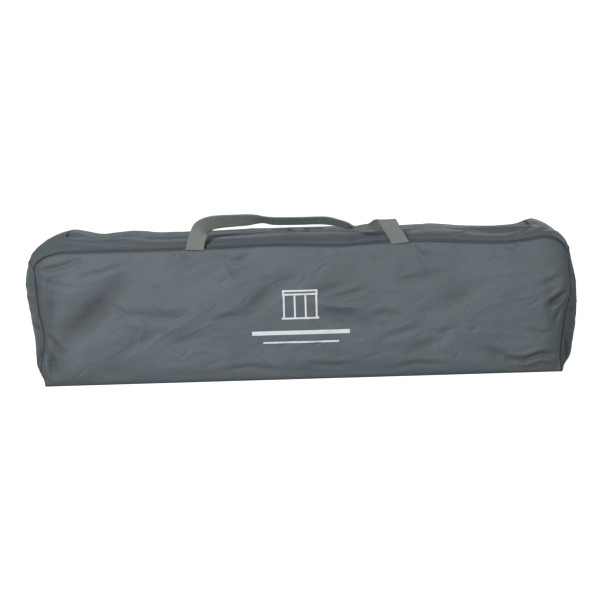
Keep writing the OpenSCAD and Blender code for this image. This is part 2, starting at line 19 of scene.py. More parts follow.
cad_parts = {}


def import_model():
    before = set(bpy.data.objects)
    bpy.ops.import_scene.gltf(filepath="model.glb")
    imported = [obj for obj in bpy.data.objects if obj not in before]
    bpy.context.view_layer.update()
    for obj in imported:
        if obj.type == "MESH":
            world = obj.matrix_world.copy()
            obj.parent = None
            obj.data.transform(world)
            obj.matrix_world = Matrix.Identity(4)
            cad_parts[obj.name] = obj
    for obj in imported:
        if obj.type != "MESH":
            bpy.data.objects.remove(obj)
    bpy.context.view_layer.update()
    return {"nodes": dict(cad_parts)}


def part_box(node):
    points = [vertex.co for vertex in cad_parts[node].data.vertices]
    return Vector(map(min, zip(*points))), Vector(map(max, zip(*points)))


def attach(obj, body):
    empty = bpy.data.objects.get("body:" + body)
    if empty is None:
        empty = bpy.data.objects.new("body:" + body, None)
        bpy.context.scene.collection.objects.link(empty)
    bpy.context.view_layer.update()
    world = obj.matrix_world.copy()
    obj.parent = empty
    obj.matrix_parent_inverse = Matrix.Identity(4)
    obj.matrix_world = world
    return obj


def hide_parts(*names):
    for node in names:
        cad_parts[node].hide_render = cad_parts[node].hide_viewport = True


log = logging.getLogger("packed_playpen")

MM = 0.001
ZIP_SLOT = 2.4  # cloth stops this far from the zip's middle line, in millimetres
Point = Sequence[float]
Keys = tuple[tuple[float, float], ...]  # pairs of place and value, in rising order of place


# ---- Small helpers ----


def linear(code: str, alpha: float = 1.0) -> tuple[float, float, float, float]:
    """Turns an sRGB hex colour into linear RGBA.

    Args:
        code: Colour such as "#5d666b".
        alpha: Opacity from 0 to 1.

    Returns:
        The linear red, green, blue and alpha.
    """
    channels = [int(code[i : i + 2], 16) / 255 for i in (1, 3, 5)]
    r, g, b = (c / 12.92 if c <= 0.04045 else ((c + 0.055) / 1.055) ** 2.4 for c in channels)
    return (r, g, b, alpha)


def smooth_curve(x: np.ndarray | float, keys: Sequence[tuple[float, float]]) -> np.ndarray:
    """Reads a smooth curve that runs through given keys and is flat beyond its ends.

    Args:
        x: Where to read the curve.
        keys: Pairs of place and value, in rising order of place.

    Returns:
        The curve's value at each x.
    """
    px = np.array([k[0] for k in keys], float)
    py = np.array([k[1] for k in keys], float)
    slope = np.gradient(py, px)
    slope[0] = slope[-1] = 0.0
    x = np.clip(np.asarray(x, float), px[0], px[-1])
    i = np.clip(np.searchsorted(px, x, side="right") - 1, 0, len(px) - 2)
    h = px[i + 1] - px[i]
    t = (x - px[i]) / h
    return (
        (2 * t**3 - 3 * t**2 + 1) * py[i]
        + (t**3 - 2 * t**2 + t) * h * slope[i]
        + (3 * t**2 - 2 * t**3) * py[i + 1]
        + (t**3 - t**2) * h * slope[i + 1]
    )


def falloff(distance: np.ndarray, reach: float) -> np.ndarray:
    """A bell curve that is 1 at no distance and falls to 0 over about twice the reach."""
    return np.exp(-((distance / reach) ** 2))


class Grain:
    """Seeded smooth noise over a plane, with values from -1 to 1."""

    def __init__(self, seed: int) -> None:
        """Fills the lattice.

        Args:
            seed: Number that fixes the pattern.
        """
        self.lattice = np.random.default_rng(seed).uniform(-1, 1, (257, 257))

    def at(self, p: np.ndarray, q: np.ndarray) -> np.ndarray:
        """Reads the noise.

        Args:
            p: First coordinate, in cells.
            q: Second coordinate, in cells.

        Returns:
            The smooth noise at each place.
        """
        i, j = np.floor(p).astype(int), np.floor(q).astype(int)
        f, g = p - i, q - j
        f, g = f * f * f * (f * (6 * f - 15) + 10), g * g * g * (g * (6 * g - 15) + 10)
        a, b, c, d = (self.lattice[(i + m) % 256, (j + n) % 256] for m, n in ((0, 0), (1, 0), (0, 1), (1, 1)))
        return (a * (1 - f) + b * f) * (1 - g) + (c * (1 - f) + d * f) * g

    def folds(self, p: np.ndarray, q: np.ndarray) -> np.ndarray:
        """Sharp-backed folds: 1 on a thin crest and about 0 between the crests."""
        warp = self.at(p * 0.6 + 31.7, q * 0.6 + 11.3)
        return (1 - np.abs(self.at(p + 0.9 * warp, q - 0.7 * warp))) ** 4.5


@dataclass(frozen=True)
class Crease:
    """A fold line pressed into cloth, in the panel's own millimetres.

    Attributes:
        points: The line's corners.
        depth: Depth of the valley, or height of a ridge when negative.
        width: Half width of the valley.
        lips: Height of the cloth that stands up beside the valley, as a share of its depth.
    """

    points: tuple[tuple[float, float], ...]
    depth: float
    width: float
    lips: float = 0.3

    def push(self, p: np.ndarray, q: np.ndarray) -> np.ndarray:
        """How far the crease moves the cloth outwards at each place.

        Args:
            p: First panel coordinate.
            q: Second panel coordinate.

        Returns:
            The outward move in millimetres.
        """
        best = np.full(p.shape, 1e9)
        along = np.zeros(p.shape)
        total = sum(math.dist(a, b) for a, b in zip(self.points, self.points[1:]))
        run = 0.0
        for (ax, ay), (bx, by) in zip(self.points, self.points[1:]):
            length = math.dist((ax, ay), (bx, by))
            t = np.clip(((p - ax) * (bx - ax) + (q - ay) * (by - ay)) / length**2, 0, 1)
            d = np.hypot(p - ax - t * (bx - ax), q - ay - t * (by - ay))
            nearer = d < best
            best = np.where(nearer, d, best)
            along = np.where(nearer, (run + t * length) / total, along)
            run += length
        fade = np.clip(np.sin(np.pi * np.clip(along, 0.02, 0.98)), 0, 1) ** 0.5
        valley = -self.depth * falloff(best, self.width)
        lip = self.depth * self.lips * falloff(best - 2.0 * self.width, 0.9 * self.width)
        return fade * (valley + lip)


@dataclass(frozen=True)
class Hollow:
    """A soft dent in cloth, or a swelling when its depth is negative.

    Attributes:
        centre: Middle of the dent in panel millimetres.
        reach: Half sizes of the dent.
        depth: Depth in millimetres.
        turn: Turn of the dent's long side, in degrees.
    """

    centre: tuple[float, float]
    reach: tuple[float, float]
    depth: float
    turn: float = 0.0

    def push(self, p: np.ndarray, q: np.ndarray) -> np.ndarray:
        """How far the dent moves the cloth outwards at each place."""
        c, s = math.cos(math.radians(self.turn)), math.sin(math.radians(self.turn))
        dp, dq = p - self.centre[0], q - self.centre[1]
        u, v = (dp * c + dq * s) / self.reach[0], (dq * c - dp * s) / self.reach[1]
        return -self.depth * np.exp(-(u * u + v * v))


def total_push(marks: Iterable[Crease | Hollow], p: np.ndarray, q: np.ndarray) -> np.ndarray:
    """Adds up what all the creases and hollows do to the cloth."""
    moved = np.zeros(p.shape)
    for mark in marks:
        moved = moved + mark.push(p, q)
    return moved


# ---- Meshes ----


def new_piece(name: str, vertices: np.ndarray, faces: list[tuple[int, ...]], body: str) -> bpy.types.Object:
    """Makes a mesh piece that rides on a body.

    Args:
        name: The piece's name.
        vertices: Points in millimetres, one row each.
        faces: Vertex numbers of each face.
        body: Body that it moves with.

    Returns:
        The new object.
    """
    mesh = bpy.data.meshes.new(name)
    mesh.from_pydata((np.asarray(vertices, float) * MM).tolist(), [], faces)
    mesh.validate()
    mesh.polygons.foreach_set("use_smooth", [True] * len(mesh.polygons))
    piece = bpy.data.objects.new(name, mesh)
    bpy.context.collection.objects.link(piece)
    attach(piece, body)
    return piece


def set_uv(piece: bpy.types.Object, place: np.ndarray) -> None:
    """Gives each vertex a place on the flat cloth, in metres.

    Args:
        piece: Mesh object.
        place: One row of two millimetre values for each vertex.
    """
    layer = piece.data.uv_layers.new(name="cloth")
    corners = np.empty(len(piece.data.loops), int)
    piece.data.loops.foreach_get("vertex_index", corners)
    layer.data.foreach_set("uv", (place[corners] * MM).ravel())


def set_painted_shade(piece: bpy.types.Object, shade: np.ndarray) -> None:
    """Gives every vertex of a piece its painted shade, a darkness which the cloth finishes read.

    Args:
        piece: The piece.
        shade: From 0 to 1 for each vertex.
    """
    layer = piece.data.attributes.new("shade", "FLOAT", "POINT")
    layer.data.foreach_set("value", np.clip(shade, 0, 1).reshape(-1).astype(np.float32))


def sheet_piece(
    name: str,
    grid: np.ndarray,
    body: str,
    thickness: float,
    keep: np.ndarray | None = None,
    shade: np.ndarray | None = None,
) -> bpy.types.Object:
    """Makes a piece of cloth from a grid of points.

    Args:
        name: The piece's name.
        grid: Points in millimetres, rows by columns by three. Rows crossed with columns point outwards.
        body: Body that it moves with.
        thickness: Thickness in millimetres, added inwards.
        keep: Which cells of the grid are cloth; all of them if left out.
        shade: How much darker the cloth is at each point, from 0 to 1, as painted shade.

    Returns:
        The new object.
    """
    rows, columns = grid.shape[:2]
    index = np.arange(rows * columns).reshape(rows, columns)
    quads = np.stack([index[:-1, :-1], index[:-1, 1:], index[1:, 1:], index[1:, :-1]], axis=-1)
    cells = quads.reshape(-1, 4) if keep is None else quads[keep]
    used = np.unique(cells)
    renumber = np.zeros(rows * columns, int)
    renumber[used] = np.arange(len(used))
    piece = new_piece(name, grid.reshape(-1, 3)[used], [tuple(c) for c in renumber[cells].tolist()], body)
    across = np.linalg.norm(np.diff(grid, axis=1), axis=2)
    down = np.linalg.norm(np.diff(grid, axis=0), axis=2)
    u = np.concatenate([np.zeros((rows, 1)), np.cumsum(across, axis=1)], axis=1)
    v = np.concatenate([np.zeros((1, columns)), np.cumsum(down, axis=0)], axis=0)
    set_uv(piece, np.stack([u, v], axis=-1).reshape(-1, 2)[used])
    if shade is not None:
        set_painted_shade(piece, shade.reshape(-1)[used])
    if thickness:
        solid = piece.modifiers.new("cloth thickness", "SOLIDIFY")
        solid.thickness = thickness * MM
        solid.offset = -1
    return piece


def swept(
    name: str,
    rings: np.ndarray,
    body: str,
    closed: bool = False,
    caps: bool = True,
) -> bpy.types.Object:
    """Joins rings of points into a tube-like piece.

    Args:
        name: The piece's name.
        rings: Points in millimetres, ring by point by three.
        body: Body that it moves with.
        closed: True if the last ring joins the first.
        caps: True if the two ends are closed.

    Returns:
        The new object.
    """
    count, size = rings.shape[:2]
    faces: list[tuple[int, ...]] = []
    for i in range(count if closed else count - 1):
        a, b = i * size, (i + 1) % count * size
        faces += [(a + k, a + (k + 1) % size, b + (k + 1) % size, b + k) for k in range(size)]
    if caps and not closed:
        faces += [tuple(range(size - 1, -1, -1)), tuple((count - 1) * size + k for k in range(size))]
    return new_piece(name, rings.reshape(-1, 3), faces, body)


def resample(points: np.ndarray, step: float) -> np.ndarray:
    """Runs a smooth line through points and reads it at even steps.

    Args:
        points: Rows of numbers; the first three are a place in millimetres.
        step: Distance between the new rows.

    Returns:
        The new rows.
    """
    n = len(points)
    fine = []
    for i in range(n - 1):
        o, a, b, c = points[max(i - 1, 0)], points[i], points[i + 1], points[min(i + 2, n - 1)]
        for t in np.linspace(0, 1, 24, endpoint=False):
            fine.append(
                0.5
                * (2 * a + (b - o) * t + (2 * o - 5 * a + 4 * b - c) * t * t + (3 * a - o - 3 * b + c) * t**3)
            )
    fine.append(points[-1])
    line = np.array(fine)
    run = np.concatenate([[0], np.cumsum(np.linalg.norm(np.diff(line[:, :3], axis=0), axis=1))])
    at = np.linspace(0, run[-1], max(int(run[-1] / step), 2) + 1)
    return np.stack([np.interp(at, run, line[:, k]) for k in range(line.shape[1])], axis=1)


# ---- Finishes ----


def add_node(
    tree: bpy.types.NodeTree, kind: str, inputs: dict[str | int, Any] | None = None, **settings: Any
) -> bpy.types.Node:
    """Adds a node with its settings, values and links.

    Args:
        tree: Node tree that it goes into.
        kind: The node's type.
        inputs: Value or output socket for each named input.
        settings: Properties of the node.

    Returns:
        The new node.
    """
    node = tree.nodes.new(kind)
    for key, value in settings.items():
        setattr(node, key, value)
    for key, value in (inputs or {}).items():
        if isinstance(value, bpy.types.NodeSocket):
            tree.links.new(value, node.inputs[key])
        else:
            node.inputs[key].default_value = value
    return node


def start_finish(name: str, **values: Any) -> tuple[bpy.types.Material, bpy.types.NodeTree, bpy.types.Node]:
    """Makes a material with one Principled shader.

    Args:
        name: The material's name.
        values: Constants for the shader's sockets, with underscores for spaces.

    Returns:
        The material, its node tree and the shader node.
    """
    material = bpy.data.materials.new(name)
    material.use_nodes = True
    tree = material.node_tree
    shader = tree.nodes["Principled BSDF"]
    for key, value in values.items():
        shader.inputs[key.replace("_", " ")].default_value = value
    return material, tree, shader


class Weave(Enum):
    """How the threads of a cloth cross."""

    PLAIN = "plain"
    TWILL = "twill"


@dataclass(frozen=True)
class WovenCloth:
    """A woven cloth, dyed in the piece.

    Attributes:
        name: What the cloth is.
        colour: Dyed colour, sRGB.
        shade: Second colour that soft patches go towards, sRGB.
        thread: Thread spacing in millimetres, drawn as coarse as it needs to show.
        weave: How the threads cross.
        relief: Height of the threads in millimetres.
        crinkle: Height of the small crinkles in millimetres.
        roughness: Roughness of the shader.
        sheen: Weight of the sheen.
        depth: Brightness between the threads, as a share; this is painted shade in the gaps of the weave.
    """

    name: str
    colour: str
    shade: str
    thread: float
    weave: Weave = Weave.PLAIN
    relief: float = 0.08
    crinkle: float = 0.0
    roughness: float = 0.6
    sheen: float = 0.1
    depth: float = 0.9

    def make(self) -> bpy.types.Material:
        """Builds the material.

        Returns:
            The finished material.
        """
        material, tree, shader = start_finish(
            self.name,
            Roughness=self.roughness,
            IOR=1.53,
            Sheen_Weight=self.sheen,
            Sheen_Roughness=0.45,
            Sheen_Tint=linear("#c9d2d6"),
        )
        place = add_node(tree, "ShaderNodeTexCoord").outputs["UV"]
        solid = add_node(tree, "ShaderNodeTexCoord").outputs["Object"]
        split = add_node(tree, "ShaderNodeSeparateXYZ", {0: place})
        turns = 2 * math.pi / (self.thread * MM)
        warp = add_node(tree, "ShaderNodeMath", {0: split.outputs["X"], 1: turns}, operation="MULTIPLY")
        weft = add_node(tree, "ShaderNodeMath", {0: split.outputs["Y"], 1: turns}, operation="MULTIPLY")
        if self.weave is Weave.PLAIN:
            first = add_node(tree, "ShaderNodeMath", {0: warp.outputs[0]}, operation="SINE")
            second = add_node(tree, "ShaderNodeMath", {0: weft.outputs[0]}, operation="SINE")
            threads = add_node(
                tree, "ShaderNodeMath", {0: first.outputs[0], 1: second.outputs[0]}, operation="MULTIPLY"
            )
        else:
            both = add_node(tree, "ShaderNodeMath", {0: warp.outputs[0], 1: weft.outputs[0]}, operation="ADD")
            wave = add_node(tree, "ShaderNodeMath", {0: both.outputs[0]}, operation="SINE")
            cross = add_node(tree, "ShaderNodeMath", {0: weft.outputs[0], 1: 2.0}, operation="MULTIPLY")
            rib = add_node(tree, "ShaderNodeMath", {0: cross.outputs[0]}, operation="SINE")
            threads = add_node(
                tree,
                "ShaderNodeMath",
                {0: rib.outputs[0], 1: 0.35, 2: wave.outputs[0]},
                operation="MULTIPLY_ADD",
            )
        # Soft patches of 60 mm and mottling of 4 mm, as dyed nylon shows in even light
        patch = add_node(tree, "ShaderNodeTexNoise", {"Vector": solid, "Scale": 1 / 0.06, "Detail": 3.0})
        mottle = add_node(tree, "ShaderNodeTexNoise", {"Vector": solid, "Scale": 1 / 0.004, "Detail": 2.0})
        mixed = add_node(
            tree,
            "ShaderNodeMath",
            {0: mottle.outputs["Fac"], 1: 0.35, 2: patch.outputs["Fac"]},
            operation="MULTIPLY_ADD",
        )
        spread = add_node(
            tree, "ShaderNodeMapRange", {"Value": mixed.outputs[0], "From Min": 0.45, "From Max": 0.9}
        )
        tint = add_node(
            tree,
            "ShaderNodeMix",
            {"Factor": spread.outputs[0], "A": linear(self.colour), "B": linear(self.shade)},
            data_type="RGBA",
        )
        # Painted shade between the threads and a faint painted highlight on their crowns, in the base colour
        painted_thread_shading = add_node(
            tree,
            "ShaderNodeMapRange",
            {"Value": threads.outputs[0], "From Min": -1.0, "To Min": self.depth, "To Max": 1.06},
        )
        # Painted shade: the cloth's colour is darkened along its seams and in its folds, where shade falls,
        # by the per-vertex shade attribute
        shade = add_node(tree, "ShaderNodeAttribute", attribute_name="shade").outputs["Fac"]
        unshaded_share = add_node(tree, "ShaderNodeMath", {0: 1.0, 1: shade}, operation="SUBTRACT")
        level = add_node(
            tree, "ShaderNodeMath", {0: unshaded_share.outputs[0], 1: painted_thread_shading.outputs[0]}, operation="MULTIPLY"
        )
        base = add_node(
            tree,
            "ShaderNodeVectorMath",
            {0: tint.outputs["Result"], 1: level.outputs[0]},
            operation="MULTIPLY",
        )
        tree.links.new(base.outputs[0], shader.inputs["Base Color"])
        bump = add_node(
            tree,
            "ShaderNodeBump",
            {"Height": threads.outputs[0], "Strength": 0.5, "Distance": self.relief * MM},
        )
        if self.crinkle:
            stretch = add_node(tree, "ShaderNodeMapping", {"Vector": solid, "Scale": (0.55, 1.0, 1.3)})
            crumple = add_node(
                tree,
                "ShaderNodeTexNoise",
                {
                    "Vector": stretch.outputs[0],
                    "Scale": 1 / 0.022,
                    "Detail": 3.0,
                    "Roughness": 0.55,
                    "Distortion": 0.8,
                },
            )
            crumpled = add_node(
                tree,
                "ShaderNodeBump",
                {
                    "Height": crumple.outputs["Fac"],
                    "Strength": 0.8,
                    "Distance": self.crinkle * MM,
                    "Normal": bump.outputs[0],
                },
            )
            tree.links.new(crumpled.outputs[0], shader.inputs["Normal"])
        else:
            tree.links.new(bump.outputs[0], shader.inputs["Normal"])
        return material


@dataclass(frozen=True)
class Moulded:
    """A moulded or coated finish with a fine grain.

    Attributes:
        name: What the material is.
        colour: Colour, sRGB.
        roughness: Roughness of the shader.
        grain: Size of the surface grain in millimetres.
        relief: Height of the grain in millimetres.
        metallic: 1 for bare metal.
        coat: Weight of a clear coat.
    """

    name: str
    colour: str
    roughness: float
    grain: float = 0.8
    relief: float = 0.02
    metallic: float = 0.0
    coat: float = 0.0

    def make(self) -> bpy.types.Material:
        """Builds the material.

        Returns:
            The finished material.
        """
        material, tree, shader = start_finish(
            self.name, Metallic=self.metallic, Coat_Weight=self.coat, Coat_Roughness=0.2
        )
        place = add_node(tree, "ShaderNodeTexCoord").outputs["Object"]
        scale = 1 / (self.grain * MM)
        grain = add_node(tree, "ShaderNodeTexNoise", {"Vector": place, "Scale": scale, "Detail": 2.0})
        wear = add_node(tree, "ShaderNodeTexNoise", {"Vector": place, "Scale": 1 / 0.03, "Detail": 3.0})
        gloss = add_node(
            tree,
            "ShaderNodeMapRange",
            {"Value": wear.outputs["Fac"], "To Min": self.roughness - 0.06, "To Max": self.roughness + 0.06},
        )
        low = linear(self.colour)
        high = tuple(min(c * 1.18 + 0.002, 1.0) for c in low[:3]) + (1.0,)
        tint = add_node(
            tree, "ShaderNodeMix", {"Factor": wear.outputs["Fac"], "A": low, "B": high}, data_type="RGBA"
        )
        bump = add_node(
            tree,
            "ShaderNodeBump",
            {"Height": grain.outputs["Fac"], "Strength": 0.5, "Distance": self.relief * MM},
        )
        tree.links.new(tint.outputs["Result"], shader.inputs["Base Color"])
        tree.links.new(gloss.outputs[0], shader.inputs["Roughness"])
        tree.links.new(bump.outputs[0], shader.inputs["Normal"])
        return material


@dataclass
class Finishes:
    """Every finish of the bag and the playpen, made once."""

    made: dict[str, bpy.types.Material] = field(default_factory=dict)

    def build(self) -> None:
        """Makes all the materials."""
        for finish in (
            # Woven nylon, calendered: dull grey blue with a faint shine; threads are 0.3 mm, drawn at 0.9
            WovenCloth(
                "bag nylon", "#555d62", "#4e565b", 0.9, crinkle=1.2, relief=0.05, roughness=0.7, sheen=0.2
            ),
            # Polypropylene webbing, woven in twill: dull grey green with fine slanted ribs
            WovenCloth(
                "webbing", "#767d77", "#6e756f", 2.2, Weave.TWILL, relief=0.25, roughness=0.72, depth=0.72
            ),
            # Polyester zip tape, woven plain and dyed darker than the bag
            WovenCloth("zip tape", "#50585d", "#4b5358", 1.0, relief=0.1, roughness=0.75),
            # Brushed polyester of the mattress cover
            WovenCloth(
                "mattress cover",
                "#8b9398",
                "#7f878c",
                1.4,
                crinkle=0.5,
                relief=0.1,
                roughness=0.85,
                sheen=0.3,
            ),
            # Polyester walls with their mesh folded in
            WovenCloth("wall cloth", "#6f777b", "#62696d", 1.6, crinkle=0.8, relief=0.12, roughness=0.85),
            # Nylon strap round the mattress
            WovenCloth("strap webbing", "#2d3134", "#26292c", 1.8, Weave.TWILL, relief=0.18, roughness=0.75),
            # Screen-print ink on nylon: flat, opaque, slightly broken by the weave
            Moulded("screen ink", "#c2c7c9", 0.6, grain=0.9, relief=0.05),
            # Spun polyester thread, a shade lighter than the cloth
            Moulded("sewing thread", "#69727a", 0.7, grain=0.4, relief=0.03),
            # Nylon zip coil
            Moulded("zip coil nylon", "#586065", 0.45, grain=0.6),
            # Die-cast zinc, enamelled to match the bag
            Moulded("enamelled zinc", "#4f575c", 0.42, grain=0.5, coat=0.15),
            # Powder-coated steel tube
            Moulded("powder-coated steel", "#3a3e41", 0.42, grain=0.35, relief=0.03),
            # Moulded polypropylene, spark-grained
            Moulded("moulded polypropylene", "#1f2123", 0.5, grain=0.5, relief=0.03),
            # ABS, moulded and polished
            Moulded("button ABS", "#a33a2d", 0.3, grain=0.6, coat=0.2),
            # Thermoplastic rubber tyre
            Moulded("wheel rubber", "#18191a", 0.75, grain=0.7, relief=0.05),
            # Zinc-plated steel rivets
            Moulded("zinc-plated steel", "#a9abac", 0.3, grain=0.4, metallic=1.0),
            # Hardboard, brown and close-grained
            Moulded("hardboard", "#7d6242", 0.7, grain=1.2, relief=0.05),
        ):
            self.made[finish.name] = finish.make()
        log.info("finishes: %d", len(self.made))

    def dress(self, piece: bpy.types.Object, name: str) -> None:
        """Puts one finish on a piece.

        Args:
            piece: Object to dress.
            name: Name of the finish.
        """
        piece.data.materials.clear()
        piece.data.materials.append(self.made[name])

    def dress_nodes(self, nodes: dict[str, bpy.types.Object], names: Iterable[str], finish: str) -> None:
        """Puts a finish into the material slots of frame nodes.

        Args:
            nodes: The frame's node objects.
            names: Names of the nodes to dress.
            finish: Name of the finish.
        """
        for name in names:
            for slot in nodes[name].material_slots:
                slot.material = self.made[finish]


# ---- Bag ----


@dataclass
class BagShape:
    """The outer shape of the bag, in millimetres, from the frame's boxes."""

    half_length: float = field(init=False)
    half_depth: float = field(init=False)
    seam: float = field(init=False)
    strip_edge: float = field(init=False)
    zip_line: float = field(init=False)
    lid_half: float = field(init=False)
    recess: float = 6.0
    roll_start: float = 338.0
    grain: Grain = field(default_factory=lambda: Grain(11))

    # Drop of the top as it rolls over each end: distance along the bag, and drop
    left_roll: Keys = ((338, 0), (356, 2.5), (376, 9.5), (393, 19), (404, 29), (409, 39))
    right_roll: Keys = ((350, 0), (364, 2), (378, 7), (393, 17), (402, 28), (408, 39))
    # Ends at the front seam and at mid depth: height, and distance along the bag
    left_seam: Keys = (
        (0, -381), (28, -387), (52, -382), (74, -380), (114, -386), (156, -389), (181, -391))
    right_seam: Keys = (
        (0, 385), (22, 383), (60, 387), (90, 392), (119, 400), (144, 399), (181, 397))
    left_end: Keys = (
        (0, -387), (15, -397), (65, -405), (99, -410), (114, -412), (139, -415), (164, -414), (190, -406))
    right_end: Keys = (
        (0, 396), (13, 407), (37, 415), (62, 419), (87, 421), (111, 420), (136, 417), (161, 413), (190, 408))
    # Rise and fall of the front seam, and of the lid's crest, along the bag
    seam_wave: Keys = (
        (-357, -1.5), (-181, -1.5), (-118, -1), (-18, 0.5), (60, -3), (137, 1), (192, 0), (324, -4), (372, 2))
    crest_wave: Keys = (
        (-350, 4), (-330, 1), (-309, -3), (-280, -2), (-250, -1.5), (-221, -5), (-180, -6), (0, -2.5),
        (110, -4), (150, -5), (221, -4), (250, -7), (280, -9), (316, -10), (338, -8), (352, -3), (366, 1))

    def __post_init__(self) -> None:
        """Reads the sizes that the frame fixes."""
        _, rim_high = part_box("bag_top_rim")
        tape_low, tape_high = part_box("zip_tape_bag")
        front_low, front_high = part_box("bag_front_panel")
        slider_low, slider_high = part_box("left_slider")
        self.half_length = rim_high[0] / MM
        self.half_depth = -front_low[1] / MM
        self.seam = front_high[2] / MM + 0.3
        self.strip_edge = tape_low[1] / MM
        self.zip_line = (slider_low[1] + slider_high[1]) / 2 / MM
        self.lid_half = tape_high[0] / MM - 13

    def roll(self, a: np.ndarray, s: np.ndarray) -> tuple[np.ndarray, np.ndarray]:
        """Where the top cloth lies along the bag, and how far it has rolled down over an end.

        Args:
            a: Distance along the bag at mid depth, before the roll is fitted to the end seam.
            s: Place across the bag, from -1 at the front seam to 1 at the back seam.

        Returns:
            The distance along the bag and the drop.
        """
        share = 1 - np.abs(s) ** 2.6
        left = -self.left_seam[-1][1] + share * (self.left_roll[-1][0] + self.left_seam[-1][1])
        right = self.right_seam[-1][1] + share * (self.right_roll[-1][0] - self.right_seam[-1][1])
        tip = np.where(a < 0, left, right)
        mid = np.where(a < 0, self.left_roll[-1][0], self.right_roll[-1][0])
        over = np.maximum(np.abs(a) - self.roll_start, 0)
        stretch = (tip - self.roll_start) / (mid - self.roll_start)
        x = np.sign(a) * (np.minimum(np.abs(a), self.roll_start) + over * stretch)
        drop = np.where(a < 0, smooth_curve(-a, self.left_roll), smooth_curve(a, self.right_roll))
        return x, drop * (share + (1 - share) * 0.62 * (drop / 39) ** 0.35)

    def section(self, y: np.ndarray) -> np.ndarray:
        """Height of the top across the bag, before any roll or wave.

        Args:
            y: Distance across the bag.

        Returns:
            The height in millimetres.
        """
        edge = self.half_depth - self.recess
        strip = smooth_curve(
            y,
            (
                (-edge, 0), (-edge + 4, 2.6), (-edge + 14, 8.5), (-edge + 27, 13.2),
                (self.strip_edge - 14, 14.6), (self.strip_edge, 13), (self.zip_line, 13),
                (self.zip_line + 13, 13.2), (-10, 16.5), (25, 18), (60, 16.5), (90, 11.5), (edge - 5, 3.5),
                (edge, 0),
            ),
        )
        return self.seam + strip

    def top(self, a: np.ndarray, s: np.ndarray) -> np.ndarray:
        """Points on the top of the bag.

        Args:
            a: Distance along the bag at mid depth.
            s: Place across the bag, from -1 to 1.

        Returns:
            Points in millimetres.
        """
        x, drop = self.roll(a, s)
        y = s * (self.half_depth - self.recess)
        # The cloth runs level along the zip, so that a slider clears it all the way
        away = 1 - falloff(np.maximum(np.abs(y - self.zip_line) - 8, 0), 12)
        near_front = falloff(s + 1, 0.22) * away
        near_seams = falloff(1 - np.abs(s), 0.12)
        wave = smooth_curve(x, self.crest_wave) * away * (1 - near_front) * (1 - near_seams)
        z = self.section(y) - drop + wave + smooth_curve(x, self.seam_wave) * near_front
        away_from_seam = (1 - np.abs(s)) * (self.half_depth - self.recess)
        return np.stack([x, y + np.sign(s) * 1.6 * falloff(away_from_seam - 5, 3.6), z], axis=-1)

    def edge_of_end(self, side: int, s: np.ndarray, z: np.ndarray) -> np.ndarray:
        """Distance along the bag of an end panel at a height and a place across the bag."""
        at_seam = smooth_curve(z, self.left_seam if side < 0 else self.right_seam)
        at_mid = smooth_curve(z, self.left_end if side < 0 else self.right_end)
        return at_seam + (at_mid - at_seam) * (1 - np.abs(s) ** 2.6)

    def crumple(self, p: np.ndarray, q: np.ndarray, seed: float, size: float = 1.0) -> np.ndarray:
        """Soft waves and small folds of slack cloth.

        Args:
            p: Distance along the panel, in millimetres.
            q: Distance up or across the panel.
            seed: Shift that makes each panel differ.
            size: Share of the full height.

        Returns:
            Outward moves in millimetres.
        """
        g = self.grain
        broad = 1.7 * g.at(p / 120 + seed, q / 60 + seed)
        middle = 0.7 * g.at(p / 44 + 3 * seed, q / 27 - seed)
        slant = (p + 1.7 * q) / 90, (q - 0.5 * p) / 34
        patch = np.clip(g.at(p / 95 - seed, q / 70) + 0.25, 0, 1)
        fold = 1.3 * g.folds(slant[0] + seed, slant[1] + 2 * seed) * patch
        slant = (p - 2.2 * q) / 80, (q + 0.35 * p) / 26
        patch = np.clip(g.at(p / 70 + 9, q / 60 - seed) + 0.1, 0, 1)
        cross = g.folds(slant[0] - seed, slant[1] + seed) * patch
        fine = 0.35 * g.at(p / 13 + seed, q / 9 + seed)
        return size * (broad + middle + fold + cross + fine)

    def pucker(self, along: np.ndarray, away: np.ndarray, seed: float) -> np.ndarray:
        """Small gathers that a seam's stitches pull in the cloth beside it.

        Args:
            along: Distance along the seam.
            away: Distance from the seam.
            seed: Shift that makes each seam differ.

        Returns:
            Outward moves in millimetres.
        """
        fine = self.grain.at(along / 5.5 + seed, away / 40)
        coarse = self.grain.at(along / 17 - seed, away / 60)
        return (0.45 * fine + 0.9 * coarse) * np.exp(-away / 11) * (1 - np.exp(-away / 2.5))


def with_lines(values: np.ndarray, lines: Sequence[float], apart: float = 0.5) -> np.ndarray:
    """Puts exact lines into even steps, and drops the steps that lie too near them.

    Args:
        values: Even steps, rising.
        lines: Lines to put in.
        apart: Least distance between a step and a line.

    Returns:
        The steps and lines, rising.
    """
    far = np.min(np.abs(values[:, None] - np.array(lines)[None, :]), axis=1) > apart
    far[0] = far[-1] = True
    return np.sort(np.concatenate([values[far], lines]))


def scatter(seed: int, count: int, width: float, height: float) -> tuple[Crease, ...]:
    """Scatters short slanted creases, as thin nylon keeps from being folded away.

    Args:
        seed: Number that fixes the pattern.
        count: How many creases.
        width: Width of the panel in millimetres.
        height: Height of the panel.

    Returns:
        The creases, in panel millimetres from the middle of its lower edge.
    """
    rng = np.random.default_rng(seed)
    marks = []
    for _ in range(count):
        p, q = rng.uniform(-0.48, 0.48) * width, rng.uniform(0.08, 0.93) * height
        turn = math.radians(rng.choice([rng.normal(28, 14), rng.normal(-38, 16)], p=[0.7, 0.3]))
        half = rng.uniform(6, 17)
        dp, dq, bend = half * math.cos(turn), half * math.sin(turn), rng.uniform(-2.5, 2.5)
        path = ((p - dp, q - dq), (p - bend, q + bend), (p + dp, q + dq))
        marks.append(Crease(path, rng.uniform(0.4, 1.1), rng.uniform(1.8, 2.8)))
    return tuple(marks)


